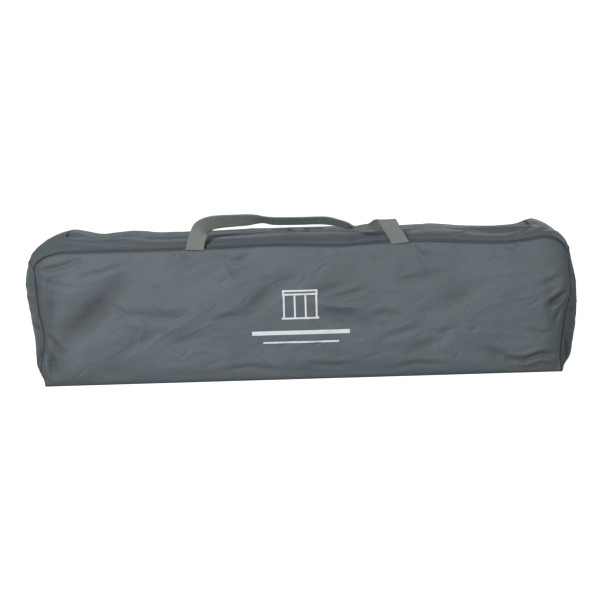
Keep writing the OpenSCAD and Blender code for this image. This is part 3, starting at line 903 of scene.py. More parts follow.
@dataclass
class BagCloth:
    """The sewn cloth of the bag: sides, bottom, ends, top rim and lid."""

    shape: BagShape
    finishes: Finishes
    step: float = 1.6
    thickness: float = 0.7
    belly: float = 3.5  # how far the long sides swell between their seams
    belly_reach: float = 70.0
    held_reach: float = 9.0  # folds die out this close to a seam
    seam_painted_shade: float = 0.85  # darkness in the needle line of a seam: painted shade of the seam's groove
    fold_painted_shade: float = 0.06  # darkness for each millimetre of a fold's depth: painted shade in the folds
    small_creases: int = 52

    front_marks: tuple[Crease | Hollow, ...] = (
        # Upper left corner, pulled towards the sewn tuck
        Crease(((-389, 171), (-350, 178), (-318, 188)), 3.6, 4.0),
        Crease(((-384, 160), (-352, 150), (-330, 146)), 1.8, 4.0),
        Crease(((-340, 196), (-322, 186), (-306, 183)), 1.6, 3.0),
        Crease(((-328, 160), (-292, 167), (-256, 178)), 1.8, 4.0),
        # Long slack fold across the left third
        Hollow((-302, 110), (19, 62), 8.5, -44),
        Hollow((-352, 112), (22, 50), -2.6, -32),
        Hollow((-256, 96), (28, 46), -2.6, -40),
        Hollow((-370, 122), (10, 44), 4.0, -8),
        # Shelf under the left third, where the mattress edge presses
        Crease(((-266, 104), (-232, 102), (-200, 97), (-166, 99)), 3.2, 7.0, 0.4),
        Crease(((-278, 118), (-262, 108), (-252, 98)), 1.8, 3.6),
        Crease(((-224, 120), (-212, 110), (-202, 101)), 1.6, 3.6),
        Hollow((-238, 62), (34, 11), 3.2, 22),
        Hollow((-168, 66), (26, 9), 2.4, 12),
        # Lower left corner and its gathered seam
        Crease(((-383, 78), (-368, 70), (-352, 48)), 2.6, 4.5),
        Crease(((-386, 58), (-372, 44), (-366, 16)), 2.6, 4.5),
        Hollow((-364, 34), (11, 30), 3.6, 10),
        Hollow((-334, 34), (13, 36), -3.4, -30),
        Hollow((-282, 18), (26, 16), 3.4, 8),
        Hollow((-318, 26), (18, 20), -2.8, 20),
        # Around the print
        Hollow((-58, 120), (24, 12), 4.4, 42),
        Hollow((-18, 146), (30, 12), 2.6, 34),
        Hollow((42, 132), (26, 9), 3.4, 10),
        Hollow((64, 92), (44, 10), 4.8, -12),
        Crease(((26, 114), (60, 107), (92, 106)), -3.2, 4.5, 0.0),
        Crease(((36, 118), (66, 124), (96, 132)), 2.4, 4.0),
        Crease(((104, 92), (128, 96), (148, 90)), 2.0, 5.0),
        Hollow((-98, 96), (24, 8), 2.8, 14),
        Crease(((-124, 92), (-106, 98), (-92, 98)), 1.8, 4.0),
        # Gathers at the handle roots
        Crease(((-178, 202), (-172, 190), (-160, 182)), 2.6, 3.0),
        Crease(((-186, 199), (-178, 188)), 2.0, 2.5),
        Crease(((172, 196), (186, 182), (200, 178)), 1.8, 3.2),
        Crease(((152, 200), (170, 192), (196, 196)), 1.6, 3.0),
        Crease(((-120, 188), (-90, 178), (-64, 190)), 1.8, 4.0),
        Crease(((-106, 172), (-94, 156), (-78, 146)), 1.6, 3.4),
        # Right side
        Crease(((300, 199), (308, 188), (320, 183)), 3.2, 3.2),
        Crease(((306, 198), (326, 191), (344, 203)), 2.4, 3.2),
        Hollow((186, 148), (36, 8), 2.6, 8),
        Hollow((228, 112), (46, 12), 2.8, 24),
        Hollow((300, 128), (22, 40), -2.0, -20),
        Hollow((190, 50), (42, 9), 2.2, 22),
        Crease(((120, 58), (146, 66), (178, 74)), 1.8, 5.0),
        Crease(((398, 122), (384, 112), (366, 100)), 5.6, 4.5, 0.5),
        Crease(((396, 104), (384, 92), (376, 76)), 3.6, 4.0),
        Crease(((392, 142), (376, 138), (352, 128)), 2.2, 4.5),
        Hollow((374, 92), (9, 42), 3.2, 4),
        Crease(((330, 66), (352, 58), (372, 60)), 2.2, 4.0),
        # Lower right corner, folded under
        Crease(((306, 22), (330, 20), (352, 27), (378, 27)), 5.0, 4.0, 0.6),
        Hollow((338, 8), (34, 10), 5.0, 0),
        Hollow((290, 24), (16, 9), 3.6, -28),
        Hollow((352, 44), (26, 12), -2.6, 0),
        Crease(((268, 40), (296, 30), (318, 12)), 2.2, 5.0),
        # Small slack folds along the bottom
        Crease(((-120, 16), (-80, 22), (-40, 17)), 2.0, 4.0),
        Crease(((10, 24), (50, 20), (80, 23)), 2.0, 4.0),
        Crease(((132, 14), (170, 20), (210, 16)), 2.0, 4.0),
        Hollow((60, 12), (120, 9), 2.4, 0),
        Hollow((-150, 10), (90, 8), 2.0, 0),
    )
    top_marks: tuple[Crease | Hollow, ...] = (
        Crease(((-352, -92), (-318, -101), (-272, -106), (-232, -107)), 4.6, 4.5, 0.5),
        Crease(((-384, -70), (-360, -92), (-340, -104)), 3.0, 5.0, 0.4),
        Crease(((-330, -76), (-296, -84), (-250, -86)), 1.8, 5.0),
        Crease(((-120, -102), (-60, -106), (0, -104)), 1.6, 4.0),
        Crease(((228, -104), (240, -90), (250, -74)), 2.4, 3.5),
        Crease(((318, -110), (330, -94), (342, -72), (350, -50)), 3.4, 4.0, 0.5),
        Crease(((352, -104), (372, -88), (384, -66)), 2.0, 5.0),
        Hollow((282, -84), (32, 14), 2.4, 0),
        Hollow((-292, 10), (36, 60), 2.5, 0),
        Crease(((-180, 10), (-120, 30), (-60, 22)), 1.6, 7.0),
        Crease(((60, 60), (120, 44), (190, 58)), 1.6, 7.0),
        Crease(((-260, 78), (-200, 88), (-150, 82)), 1.5, 6.0),
    )

    # Tucks of the ends, in millimetres across and up
    end_marks: tuple[Crease | Hollow, ...] = (
        Crease(((-112, 96), (-96, 88), (-72, 92)), 4.0, 4.0, 0.4),
        Crease(((-114, 60), (-100, 46), (-92, 18)), 5.0, 4.5, 0.4),
        Crease(((-108, 142), (-84, 132), (-52, 138)), 3.0, 5.0),
        Crease(((112, 84), (92, 74), (66, 80)), 3.4, 4.5),
        Crease(((104, 40), (84, 28), (50, 30)), 3.0, 5.0),
    )

    def columns(self) -> np.ndarray:
        """Distances along the bag at mid depth, in even steps."""
        left, right = -self.shape.left_roll[-1][0], self.shape.right_roll[-1][0]
        return np.linspace(left, right, int((right - left) / self.step) + 1)

    def long_side(self, facing: int) -> tuple[np.ndarray, np.ndarray]:
        """Points of the front or back panel.

        Args:
            facing: -1 for the front, 1 for the back.

        Returns:
            A grid of points from the bottom up, in millimetres, and the painted shade at each: how dark the
            cloth is.
        """
        shape = self.shape
        a = self.columns()
        v = np.linspace(0, 1, int(shape.seam / self.step) + 1)[:, None]
        crest = shape.top(a, np.full(a.shape, float(facing)))
        share = (crest[:, 0] - crest[0, 0]) / (crest[-1, 0] - crest[0, 0])
        z = v * crest[None, :, 2]
        low, high = smooth_curve(z, shape.left_seam), smooth_curve(z, shape.right_seam)
        x = low + share * (high - low)
        up, down = crest[None, :, 2] - z, z
        side = np.minimum(x - low, high - x)
        edge = np.maximum(np.minimum(np.minimum(up, down), side), 0)
        round_in = shape.recess * (np.exp(-up / 2.6) + np.exp(-down / 4) + np.exp(-side / 5))
        round_in += 3.0 * np.exp(-side / 20) + 2.0 * np.exp(-down / 16)
        belly = self.belly * np.clip(np.minimum(up, down) / self.belly_reach, 0, 1) ** 0.7
        held = 1 - np.exp(-((edge / self.held_reach) ** 1.5))
        marks = scatter(7 - facing, self.small_creases, 2 * shape.half_length, shape.seam)
        marks += self.front_marks if facing < 0 else ()
        seed = 4.3 if facing < 0 else 17.9
        push = total_push(marks, x, z) + shape.crumple(x, z, seed)
        gather = shape.pucker(x, up, seed) + shape.pucker(x, down, seed + 5)
        gather = gather + 1.1 * shape.pucker(z, side, seed + 9)
        y = shape.half_depth - np.minimum(round_in, shape.recess) + belly * held + push * held + gather
        # Painted shade: darker in the seams' needle lines, in the folds, towards the ends and towards the
        # bottom, where shade falls
        shade = self.seam_painted_shade * falloff(up, 2.2) + 0.8 * falloff(side, 1.5) + 0.6 * falloff(down, 2.0)
        shade = shade + np.clip(-push * held, 0, 7) * self.fold_painted_shade
        shade = shade + 0.24 * np.exp(-side / 24) + 0.1 * np.exp(-down / 12)
        return np.stack([x, facing * y, z], axis=-1), shade

    def end(self, side: int) -> tuple[np.ndarray, np.ndarray]:
        """Points of an end panel.

        Args:
            side: -1 for the left end, 1 for the right end.

        Returns:
            A grid of points from the bottom up, in millimetres, and the painted shade at each: how dark the
            cloth is.
        """
        shape = self.shape
        s = np.linspace(-1, 1, 121)
        tip = shape.top(np.full(s.shape, self.columns()[0 if side < 0 else -1]), s)
        v = np.linspace(0, 1, 96)[:, None]
        z = v * tip[None, :, 2]
        x = shape.edge_of_end(side, np.broadcast_to(s, z.shape), z)
        x = x + (tip[None, :, 0] - shape.edge_of_end(side, s, tip[:, 2])[None, :]) * v**6
        y = np.broadcast_to(s * (shape.half_depth - shape.recess), z.shape)
        edge = np.minimum(np.minimum(z, tip[None, :, 2] - z), (1 - np.abs(s))[None, :] * shape.half_depth)
        held = 1 - np.exp(-((np.maximum(edge, 0) / 10) ** 1.5))
        push = total_push(self.end_marks, y, z) + shape.crumple(y, z, 23.0 + 8 * side, 1.2)
        push = push * held + 1.6 * shape.pucker(z, edge, 3.0 * side)
        # Painted shade: darker along the seams and in the folds, a little darker all over as the ends lie in
        # shade, and more towards the lower middle
        shade = 0.7 * falloff(edge, 2.0) + np.clip(-push, 0, 6) * 0.05 + 0.16 + 0.1 * falloff(z - 45, 60)
        return np.stack([x + side * push, y, z], axis=-1), shade

    def top_grid(self, a: np.ndarray, s: np.ndarray) -> np.ndarray:
        """Points of the top with its folds.

        Args:
            a: Distances along the bag, one for each column.
            s: Places across the bag from -1 to 1, one for each row.

        Returns:
            A grid of points in millimetres.
        """
        shape = self.shape
        a2, s2 = np.meshgrid(a, s)
        points = shape.top(a2, s2)
        x, y = points[..., 0], points[..., 1]
        span = shape.half_depth - shape.recess
        seam = (1 - np.abs(s2)) * span
        at_side = np.where(y > shape.zip_line - ZIP_SLOT, np.abs(np.abs(a2) - shape.lid_half), 99)
        at_front = np.where(np.abs(a2) < shape.lid_half + ZIP_SLOT, np.abs(y - shape.zip_line), 99)
        zip_gap = np.minimum(at_side, at_front) - ZIP_SLOT
        tip = np.minimum(a2 - a2.min(), a2.max() - a2) if a2.max() > shape.roll_start else 99
        held = 1 - np.exp(-((seam / self.held_reach) ** 1.5))
        held = held * (1 - np.exp(-((np.maximum(zip_gap, 0) / self.held_reach) ** 1.5)))
        held = held * (1 - np.exp(-((np.maximum(tip, 0) / 10) ** 1.5)))
        push = total_push(self.top_marks, x, y) + shape.crumple(x, y, 41.0, 0.6)
        gather = shape.pucker(x, seam, 51.0)
        points[..., 2] += push * held + gather
        return points

    def build(self) -> None:
        """Makes the cloth of the bag, hides the frame panel that each sheet stands for and dresses each
        sheet.
        """
        shape = self.shape
        a = self.columns()
        span = shape.half_depth - shape.recess
        s = np.linspace(-1, 1, int(2 * span / self.step) + 1)
        length, depth, height = 2 * shape.half_length * MM, 2 * shape.half_depth * MM, shape.seam * MM
        grid, shade = self.long_side(-1)
        front = sheet_piece("front_cloth", grid, "packed_bag", self.thickness, shade=shade)
        grid, shade = self.long_side(1)
        grid, shade = grid[:, ::-1], shade[:, ::-1]
        back = sheet_piece("back_cloth", grid, "packed_bag", self.thickness, shade=shade)
        grid, shade = self.end(-1)
        grid, shade = grid[:, ::-1], shade[:, ::-1]
        left = sheet_piece("left_end_cloth", grid, "packed_bag", self.thickness, shade=shade)
        grid, shade = self.end(1)
        right = sheet_piece("right_end_cloth", grid, "packed_bag", self.thickness, shade=shade)
        bottom_s = np.linspace(1, -1, 40)
        flat = np.zeros((40, len(a), 3))
        low, high = shape.left_seam[0][1], shape.right_seam[0][1]
        flat[..., 0] = np.linspace(low, high, len(a))[None, :]
        flat[..., 1] = (bottom_s * span)[:, None]
        bottom = sheet_piece("bottom_cloth", flat, "packed_bag", 0)
        rim_x, lid_x = shape.lid_half + ZIP_SLOT, shape.lid_half - ZIP_SLOT
        top_a = with_lines(a, (-rim_x, -lid_x, lid_x, rim_x))
        top_s = with_lines(s, ((shape.zip_line - ZIP_SLOT) / span, (shape.zip_line + ZIP_SLOT) / span), 0.004)
        grid = self.top_grid(top_a, top_s)
        cell_a = np.abs((top_a[:-1] + top_a[1:]) / 2)[None, :]
        cell_y = ((top_s[:-1] + top_s[1:]) / 2 * span)[:, None]
        inside = (cell_a < rim_x) & (cell_y > shape.zip_line - ZIP_SLOT)
        seam = (1 - np.abs(np.broadcast_to(top_s[:, None], grid.shape[:2]))) * span
        ends = np.broadcast_to(np.minimum(top_a - top_a[0], top_a[-1] - top_a)[None, :], grid.shape[:2])
        # Painted shade along the top's seams and at its ends, and a broader light darkening beside the seams
        shade = 0.8 * falloff(seam, 2.0) + 0.6 * falloff(ends, 1.8) + 0.12 * np.exp(-seam / 12)
        rim = sheet_piece("top_rim_cloth", grid, "packed_bag", self.thickness, ~inside, shade)
        lid_cells = (cell_a < lid_x) & (cell_y > shape.zip_line + ZIP_SLOT)
        # The lid's cloth laps over the back seam, so that no light shows there when it is open
        edge = grid[-1]
        lap = [edge + (0, dy, dz) for dy, dz in ((1.6, 0.2), (3.2, -0.7), (4.1, -2.0), (4.4, -3.4))]
        lid_cells = np.concatenate([lid_cells, np.repeat(lid_cells[-1:], len(lap), axis=0)])
        lid = sheet_piece("lid_cloth", np.concatenate([grid, lap]), "lid", self.thickness, lid_cells)
        for piece, node, size in (
            (front, "bag_front_panel", (length, height)),
            (back, "bag_back_panel", (length, height)),
            (left, "bag_left_end", (depth, height)),
            (right, "bag_right_end", (depth, height)),
            (bottom, "bag_bottom_panel", (length, depth)),
            (rim, "bag_top_rim", (length, depth)),
            (lid, "bag_lid", (2 * shape.lid_half * MM, (span - shape.zip_line) * MM)),
        ):
            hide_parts(node)
            self.finishes.dress(piece, "bag nylon")
            log.info("cloth: %s", piece.name)


@dataclass
class BagZip:
    """The zip on three sides of the lid: tapes and coils."""

    shape: BagShape
    finishes: Finishes
    tape: float = 11.0
    coil: float = 1.7
    gap: float = 0.3

    def run(self, outward: float) -> np.ndarray:
        """A line round the three sides of the lid.

        Args:
            outward: Distance from the zip's middle line, positive towards the bag.

        Returns:
            Points along the bag and across it.
        """
        shape = self.shape
        x, front = shape.lid_half + outward, shape.zip_line - outward
        back = shape.half_depth - shape.recess - 6
        corner = 5.0 + max(outward, -4)
        line = [(-x, back)]
        line += [(-x, y) for y in np.arange(back - 3, front + corner, -3.0)]
        for t in np.linspace(0, math.pi / 2, 7):
            line.append((-x + corner * (1 - math.cos(t)), front + corner * (1 - math.sin(t))))
        line += [(px, front) for px in np.arange(-x + corner + 3, x - corner, 3.0)]
        for t in np.linspace(math.pi / 2, 0, 7):
            line.append((x - corner * (1 - math.cos(t)), front + corner * (1 - math.sin(t))))
        line += [(x, y) for y in np.arange(front + corner + 3, back, 3.0)] + [(x, back)]
        return np.array(line)

    def lift(self, line: np.ndarray, up: float) -> np.ndarray:
        """Puts a flat line on the top of the bag, and raises it."""
        span = self.shape.half_depth - self.shape.recess
        points = self.shape.top(line[:, 0], line[:, 1] / span)
        points[:, 2] += up
        return points

    def ribbon(self, name: str, inner: float, outer: float, body: str, node: str) -> bpy.types.Object:
        """Makes one tape of the zip.

        Args:
            name: The piece's name.
            inner: Distance of its inner edge from the zip's middle line, positive towards the bag.
            outer: Distance of its outer edge.
            body: Body that it moves with.
            node: Frame node that it stands for.

        Returns:
            The tape.
        """
        count = len(self.run(0.0))
        rows = []
        for share in np.linspace(0, 1, 5):
            line = self.run(inner + (outer - inner) * share)
            at = np.linspace(0, len(line) - 1, count)
            line = np.stack([np.interp(at, np.arange(len(line)), line[:, k]) for k in (0, 1)], axis=1)
            rows.append(self.lift(line, -0.75))
        grid = np.array(rows)
        piece = sheet_piece(name, grid if outer < inner else grid[::-1], body, 0.6)
        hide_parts(node)
        self.finishes.dress(piece, "zip tape")
        return piece

    def teeth(self, name: str, side: int, body: str, node: str) -> bpy.types.Object:
        """Makes one row of coil turns.

        Args:
            name: The piece's name.
            side: 1 for the bag's row, -1 for the lid's row.
            body: Body that it moves with.
            node: Frame node that it stands for.

        Returns:
            The coil.
        """
        spread = side * (self.gap + self.coil / 2)
        line = self.lift(self.run(spread), 0.0)
        path = resample(line, 0.5)
        along = np.gradient(path, axis=0)
        along /= np.linalg.norm(along, axis=1)[:, None]
        up = np.array([0, 0, 1.0])
        across = np.cross(along, up)
        across /= np.linalg.norm(across, axis=1)[:, None]
        turn = np.arange(len(path)) * (2 * math.pi / 4)
        middle = path + across * (np.cos(turn) * 0.62)[:, None] + up * (np.sin(turn) * 0.45 - 0.5)[:, None]
        corners = np.array([(0.3, 0.0), (0.0, 0.3), (-0.3, 0.0), (0.0, -0.3)])
        rings = middle[:, None, :] + across[:, None, :] * corners[None, :, :1] + up * corners[None, :, 1:]
        piece = swept(name, rings, body)
        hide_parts(node)
        self.finishes.dress(piece, "zip coil nylon")
        return piece

    def build(self) -> None:
        """Makes both halves of the zip."""
        near = self.gap + self.coil
        self.ribbon("bag_zip_tape", near, near + self.tape, "packed_bag", "zip_tape_bag")
        self.ribbon("lid_zip_tape", -near, -near - self.tape, "lid", "zip_tape_lid")
        self.teeth("bag_zip_coil", 1, "packed_bag", "zip_coil_bag")
        self.teeth("lid_zip_coil", -1, "lid", "zip_coil_lid")
        log.info("zip: two tapes and two coils")


@dataclass
class Handles:
    """The two carry handles of flat webbing."""

    shape: BagShape
    finishes: Finishes
    width: float = 27.0
    thickness: float = 1.6
    span: float = 302.0

    def band(
        self,
        name: str,
        stations: Sequence[tuple[Point, Point]],
        body: str,
        node: str,
        fold: Point | None = None,
    ) -> bpy.types.Object:
        """Makes a strap that follows stations.

        Args:
            name: The piece's name.
            stations: Pairs of place and direction across the webbing, in millimetres.
            body: Body that it moves with.
            node: Frame node that it stands for.
            fold: Place of a fold whose inner side gets painted shade on the webbing.

        Returns:
            The strap.
        """
        rows = np.array([list(p) + list(d) for p, d in stations], float)
        path = resample(rows, 2.0)
        place, across = path[:, :3], path[:, 3:]
        along = np.gradient(place, axis=0)
        along /= np.linalg.norm(along, axis=1)[:, None]
        across = across / np.linalg.norm(across, axis=1)[:, None]
        face = np.cross(along, across)
        face /= np.linalg.norm(face, axis=1)[:, None]
        half, thick = self.width / 2, self.thickness / 2
        outline = [(c, 1.0) for c in np.linspace(-0.97, 0.97, 13)] + [(1.0, 0.0)]
        outline += [(c, -1.0) for c in np.linspace(0.97, -0.97, 13)] + [(-1.0, 0.0)]
        shape = np.array(outline)
        cup = 0.5 * (1 - shape[:, 0] ** 2)
        rings = (
            place[:, None, :]
            + across[:, None, :] * (shape[:, 0] * half)[None, :, None]
            + face[:, None, :] * (shape[:, 1] * thick + cup)[None, :, None]
        )
        piece = swept(name, rings, body)
        run = np.concatenate([[0], np.cumsum(np.linalg.norm(np.diff(place, axis=0), axis=1))])
        u = np.broadcast_to(run[:, None], rings.shape[:2])
        v = np.broadcast_to(shape[None, :, 0] * half, rings.shape[:2])
        set_uv(piece, np.stack([u, v], axis=-1).reshape(-1, 2))
        # Painted shade on the inner side of the fold, which lies in shadow behind the tab
        if fold is not None:
            at = run[np.argmin(np.linalg.norm(place - np.array(fold), axis=1))]
            set_painted_shade(piece, 0.42 * falloff(u - at, 11))
        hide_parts(node)
        self.finishes.dress(piece, "webbing")
        log.info("handle: %s", name)
        return piece

    def front(self) -> None:
        """Makes the front handle, which stands over the seam with a twist in it."""
        end, y, z = self.span / 2, -self.shape.half_depth - self.thickness, self.shape.seam + self.thickness
        stations = [
            ((-end - 1.2, y + 0.6, z - 6), (1, 0, -0.06)),
            ((-end - 0.8, y + 0.5, z - 2), (1, 0, -0.04)),
            ((-end, y + 0.4, z + 1.5), (1, 0, 0)),
            ((-end + 1.5, y + 0.2, z + 7), (1, 0, 0)),
            ((-end + 4, y + 0.5, z + 14), (1, 0, -0.08)),
            ((-end + 6.5, y + 2, z + 19.5), (0.95, 0.1, -0.3)),
            ((-end + 9, y + 5, z + 25.5), (0.75, 0.35, -0.56)),
            ((-end + 15, y + 8, z + 30), (0.45, 0.52, -0.72)),
            ((-end + 24, y + 10.5, z + 33), (0.18, 0.62, -0.76)),
            ((-end + 38, y + 13, z + 34.5), (0.04, 0.68, -0.73)),
            ((-end + 55, y + 15, z + 35), (0, 0.72, -0.69)),
            ((-end + 76, y + 17, z + 35.5), (0, 0.76, -0.65)),
            ((-end + 90, y + 18, z + 36), (0, 0.85, -0.53)),
            ((-end + 101, y + 19.5, z + 35), (0, 0.91, -0.41)),
            ((-end + 116, y + 20.5, z + 32.5), (0, 0.89, -0.46)),
            ((0, y + 21, z + 31.5), (0, 0.89, -0.46)),
            ((end - 122, y + 20, z + 31.5), (0, 0.89, -0.46)),
            ((end - 106, y + 19, z + 30.5), (0, 0.88, -0.47)),
            ((end - 90, y + 18, z + 27), (0, 0.91, -0.41)),
            ((end - 78, y + 17.5, z + 23), (0, 0.92, -0.39)),
            ((end - 70, y + 17, z + 20.5), (0, 0.98, -0.2)),
            ((end - 65, y + 16.5, z + 19), (0, 1, 0.02)),
            ((end - 60, y + 16, z + 18.6), (-0.05, 0.97, 0.22)),
            ((end - 50, y + 15, z + 18.6), (-0.15, 0.93, 0.33)),
            ((end - 41, y + 13.5, z + 19.5), (-0.4, 0.84, 0.34)),
            ((end - 33, y + 11, z + 22.5), (-0.75, 0.57, 0.32)),
            ((end - 27, y + 8.5, z + 27), (-0.93, 0.27, 0.24)),
            ((end - 23.5, y + 6.5, z + 29.8), (-0.99, 0.05, 0.1)),
            ((end - 21.5, y + 4.2, z + 31), (-1, 0, 0)),
            ((end - 20, y + 1.7, z + 30.6), (-1, 0, 0)),
            ((end - 18.2, y + 0.2, z + 27.5), (-1, 0, 0)),
            ((end - 13, y, z + 18), (-1, 0, 0)),
            ((end - 7, y + 0.2, z + 7.5), (-1, 0, 0)),
            ((end - 3.5, y + 0.4, z + 1.5), (-1, 0, 0)),
            ((end - 1.8, y + 0.5, z - 2), (-1, 0, -0.06)),
            ((end - 0.8, y + 0.6, z - 4.5), (-1, 0, -0.1)),
        ]
        # Where shade is painted on the inner side of the twisted fold
        fold = (end - 35, y + 11.5, z + 21.5)
        self.band("front_strap", stations, "handle_front", "front_handle", fold)

    def back(self) -> None:
        """Makes the back handle, which hangs down behind the bag."""
        low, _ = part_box("back_handle")
        end, y = self.span / 2, self.shape.half_depth + self.thickness + 4
        z = self.shape.seam + self.thickness - 4
        drop = z - low[2] / MM - self.width / 2
        half = [
            ((-end, y - 5, z - 6), (1, 0, 0)),
            ((-end + 1, y, z - 0.3 * drop), (1, 0, 0.05)),
            ((-end + 6, y + 1, z - 0.62 * drop), (0.97, 0, 0.25)),
            ((-end + 22, y + 2, z - 0.86 * drop), (0.72, 0, 0.69)),
            ((-end + 48, y + 2, z - 0.97 * drop), (0.25, 0, 0.97)),
            ((-end + 90, y + 1, z - drop), (0, 0, 1)),
        ]
        mirrored = [((-p[0], p[1], p[2]), (-d[0], d[1], d[2])) for p, d in reversed(half)]
        middle = [((0, y, z - drop), (0, 0, 1))]
        self.band("back_strap", half + middle + mirrored, "handle_back", "back_handle")

    def build(self) -> None:
        """Makes both handles."""
        self.front()
        self.back()


@dataclass
class PrintedMotif:
    """A plain printed outline of a pen over two bars, which lies on the front cloth."""

    cloth: BagCloth
    finishes: Finishes
    centre: tuple[float, float] = (0.0, 106.0)
    line: float = 2.6

    def bars(self) -> list[tuple[float, float, float, float]]:
        """The motif's bars: left, right, bottom and top, from its middle."""
        half = self.line / 2
        bars = [(-26, 26, 24 + half, 24 + 3 * half), (-26, 26, 24 - 3 * half, 24 - half)]
        bars += [(-26, -26 + self.line, 24 - half, 24 + half), (26 - self.line, 26, 24 - half, 24 + half)]
        bars += [(x - half, x + half, -14, 20) for x in (-24, -8, 8, 24)]
        bars += [(-27.6, 27.6, -14 - half, -14 + half), (-72, 72, -38, -32), (-56, 56, -50.5, -48)]
        return bars

    def build(self) -> None:
        """Makes the print as a thin film that follows the cloth."""
        grid, _ = self.cloth.long_side(-1)
        z0 = grid[:, grid.shape[1] // 2, 2]
        vertices: list[list[float]] = []
        faces: list[tuple[int, ...]] = []
        for left, right, low, high in self.bars():
            xs = np.linspace(left, right, max(int((right - left) / 1.5), 1) + 1) + self.centre[0]
            zs = np.linspace(low, high, max(int((high - low) / 1.5), 1) + 1) + self.centre[1]
            start = len(vertices)
            for z in zs:
                row = int(np.clip(np.searchsorted(z0, z) - 1, 0, len(z0) - 2))
                across = np.interp(xs, grid[row, :, 0], grid[row, :, 1])
                above = np.interp(xs, grid[row + 1, :, 0], grid[row + 1, :, 1])
                t = (z - z0[row]) / (z0[row + 1] - z0[row])
                vertices += [[x, y - 0.8, z] for x, y in zip(xs, across * (1 - t) + above * t)]
            n = len(xs)
            for j in range(len(zs) - 1):
                at = start + j * n
                faces += [(at + i, at + i + 1, at + n + i + 1, at + n + i) for i in range(n - 1)]
        piece = new_piece("front_motif", np.array(vertices), faces, "packed_bag")
        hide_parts("front_print")
        self.finishes.dress(piece, "screen ink")
        log.info("print: %d bars", len(self.bars()))


# ---- Packed playpen ----


@dataclass
class PackedPlaypen:
    """The folded playpen in the bag. Its hard parts are the frame's own nodes, with finishes."""

    finishes: Finishes
    nodes: dict[str, bpy.types.Object]

    def build(self) -> None:
        """Dresses every node of the playpen."""
        names = self.nodes.keys()
        groups = {
            "powder-coated steel": ("post_", "rail_", "strut_"),
            "moulded polypropylene": ("corner_", "foot_", "latch_", "floor_hub"),
            "button ABS": ("button_",),
            "wheel rubber": ("wheel_front", "wheel_back"),
            "zinc-plated steel": ("rivets", "wheel_axles"),
            "enamelled zinc": ("left_slider", "right_slider", "left_pull", "right_pull"),
            "hardboard": ("mattress_boards",),
            "webbing": ("hub_pull", "handle_roots"),
        }
        for finish, starts in groups.items():
            exact = [n for n in names if n in starts]
            family = [n for n in names if any(s.endswith("_") and n.startswith(s) for s in starts)]
            self.finishes.dress_nodes(self.nodes, exact + family, finish)
        log.info("playpen: %d nodes dressed", len(self.nodes))


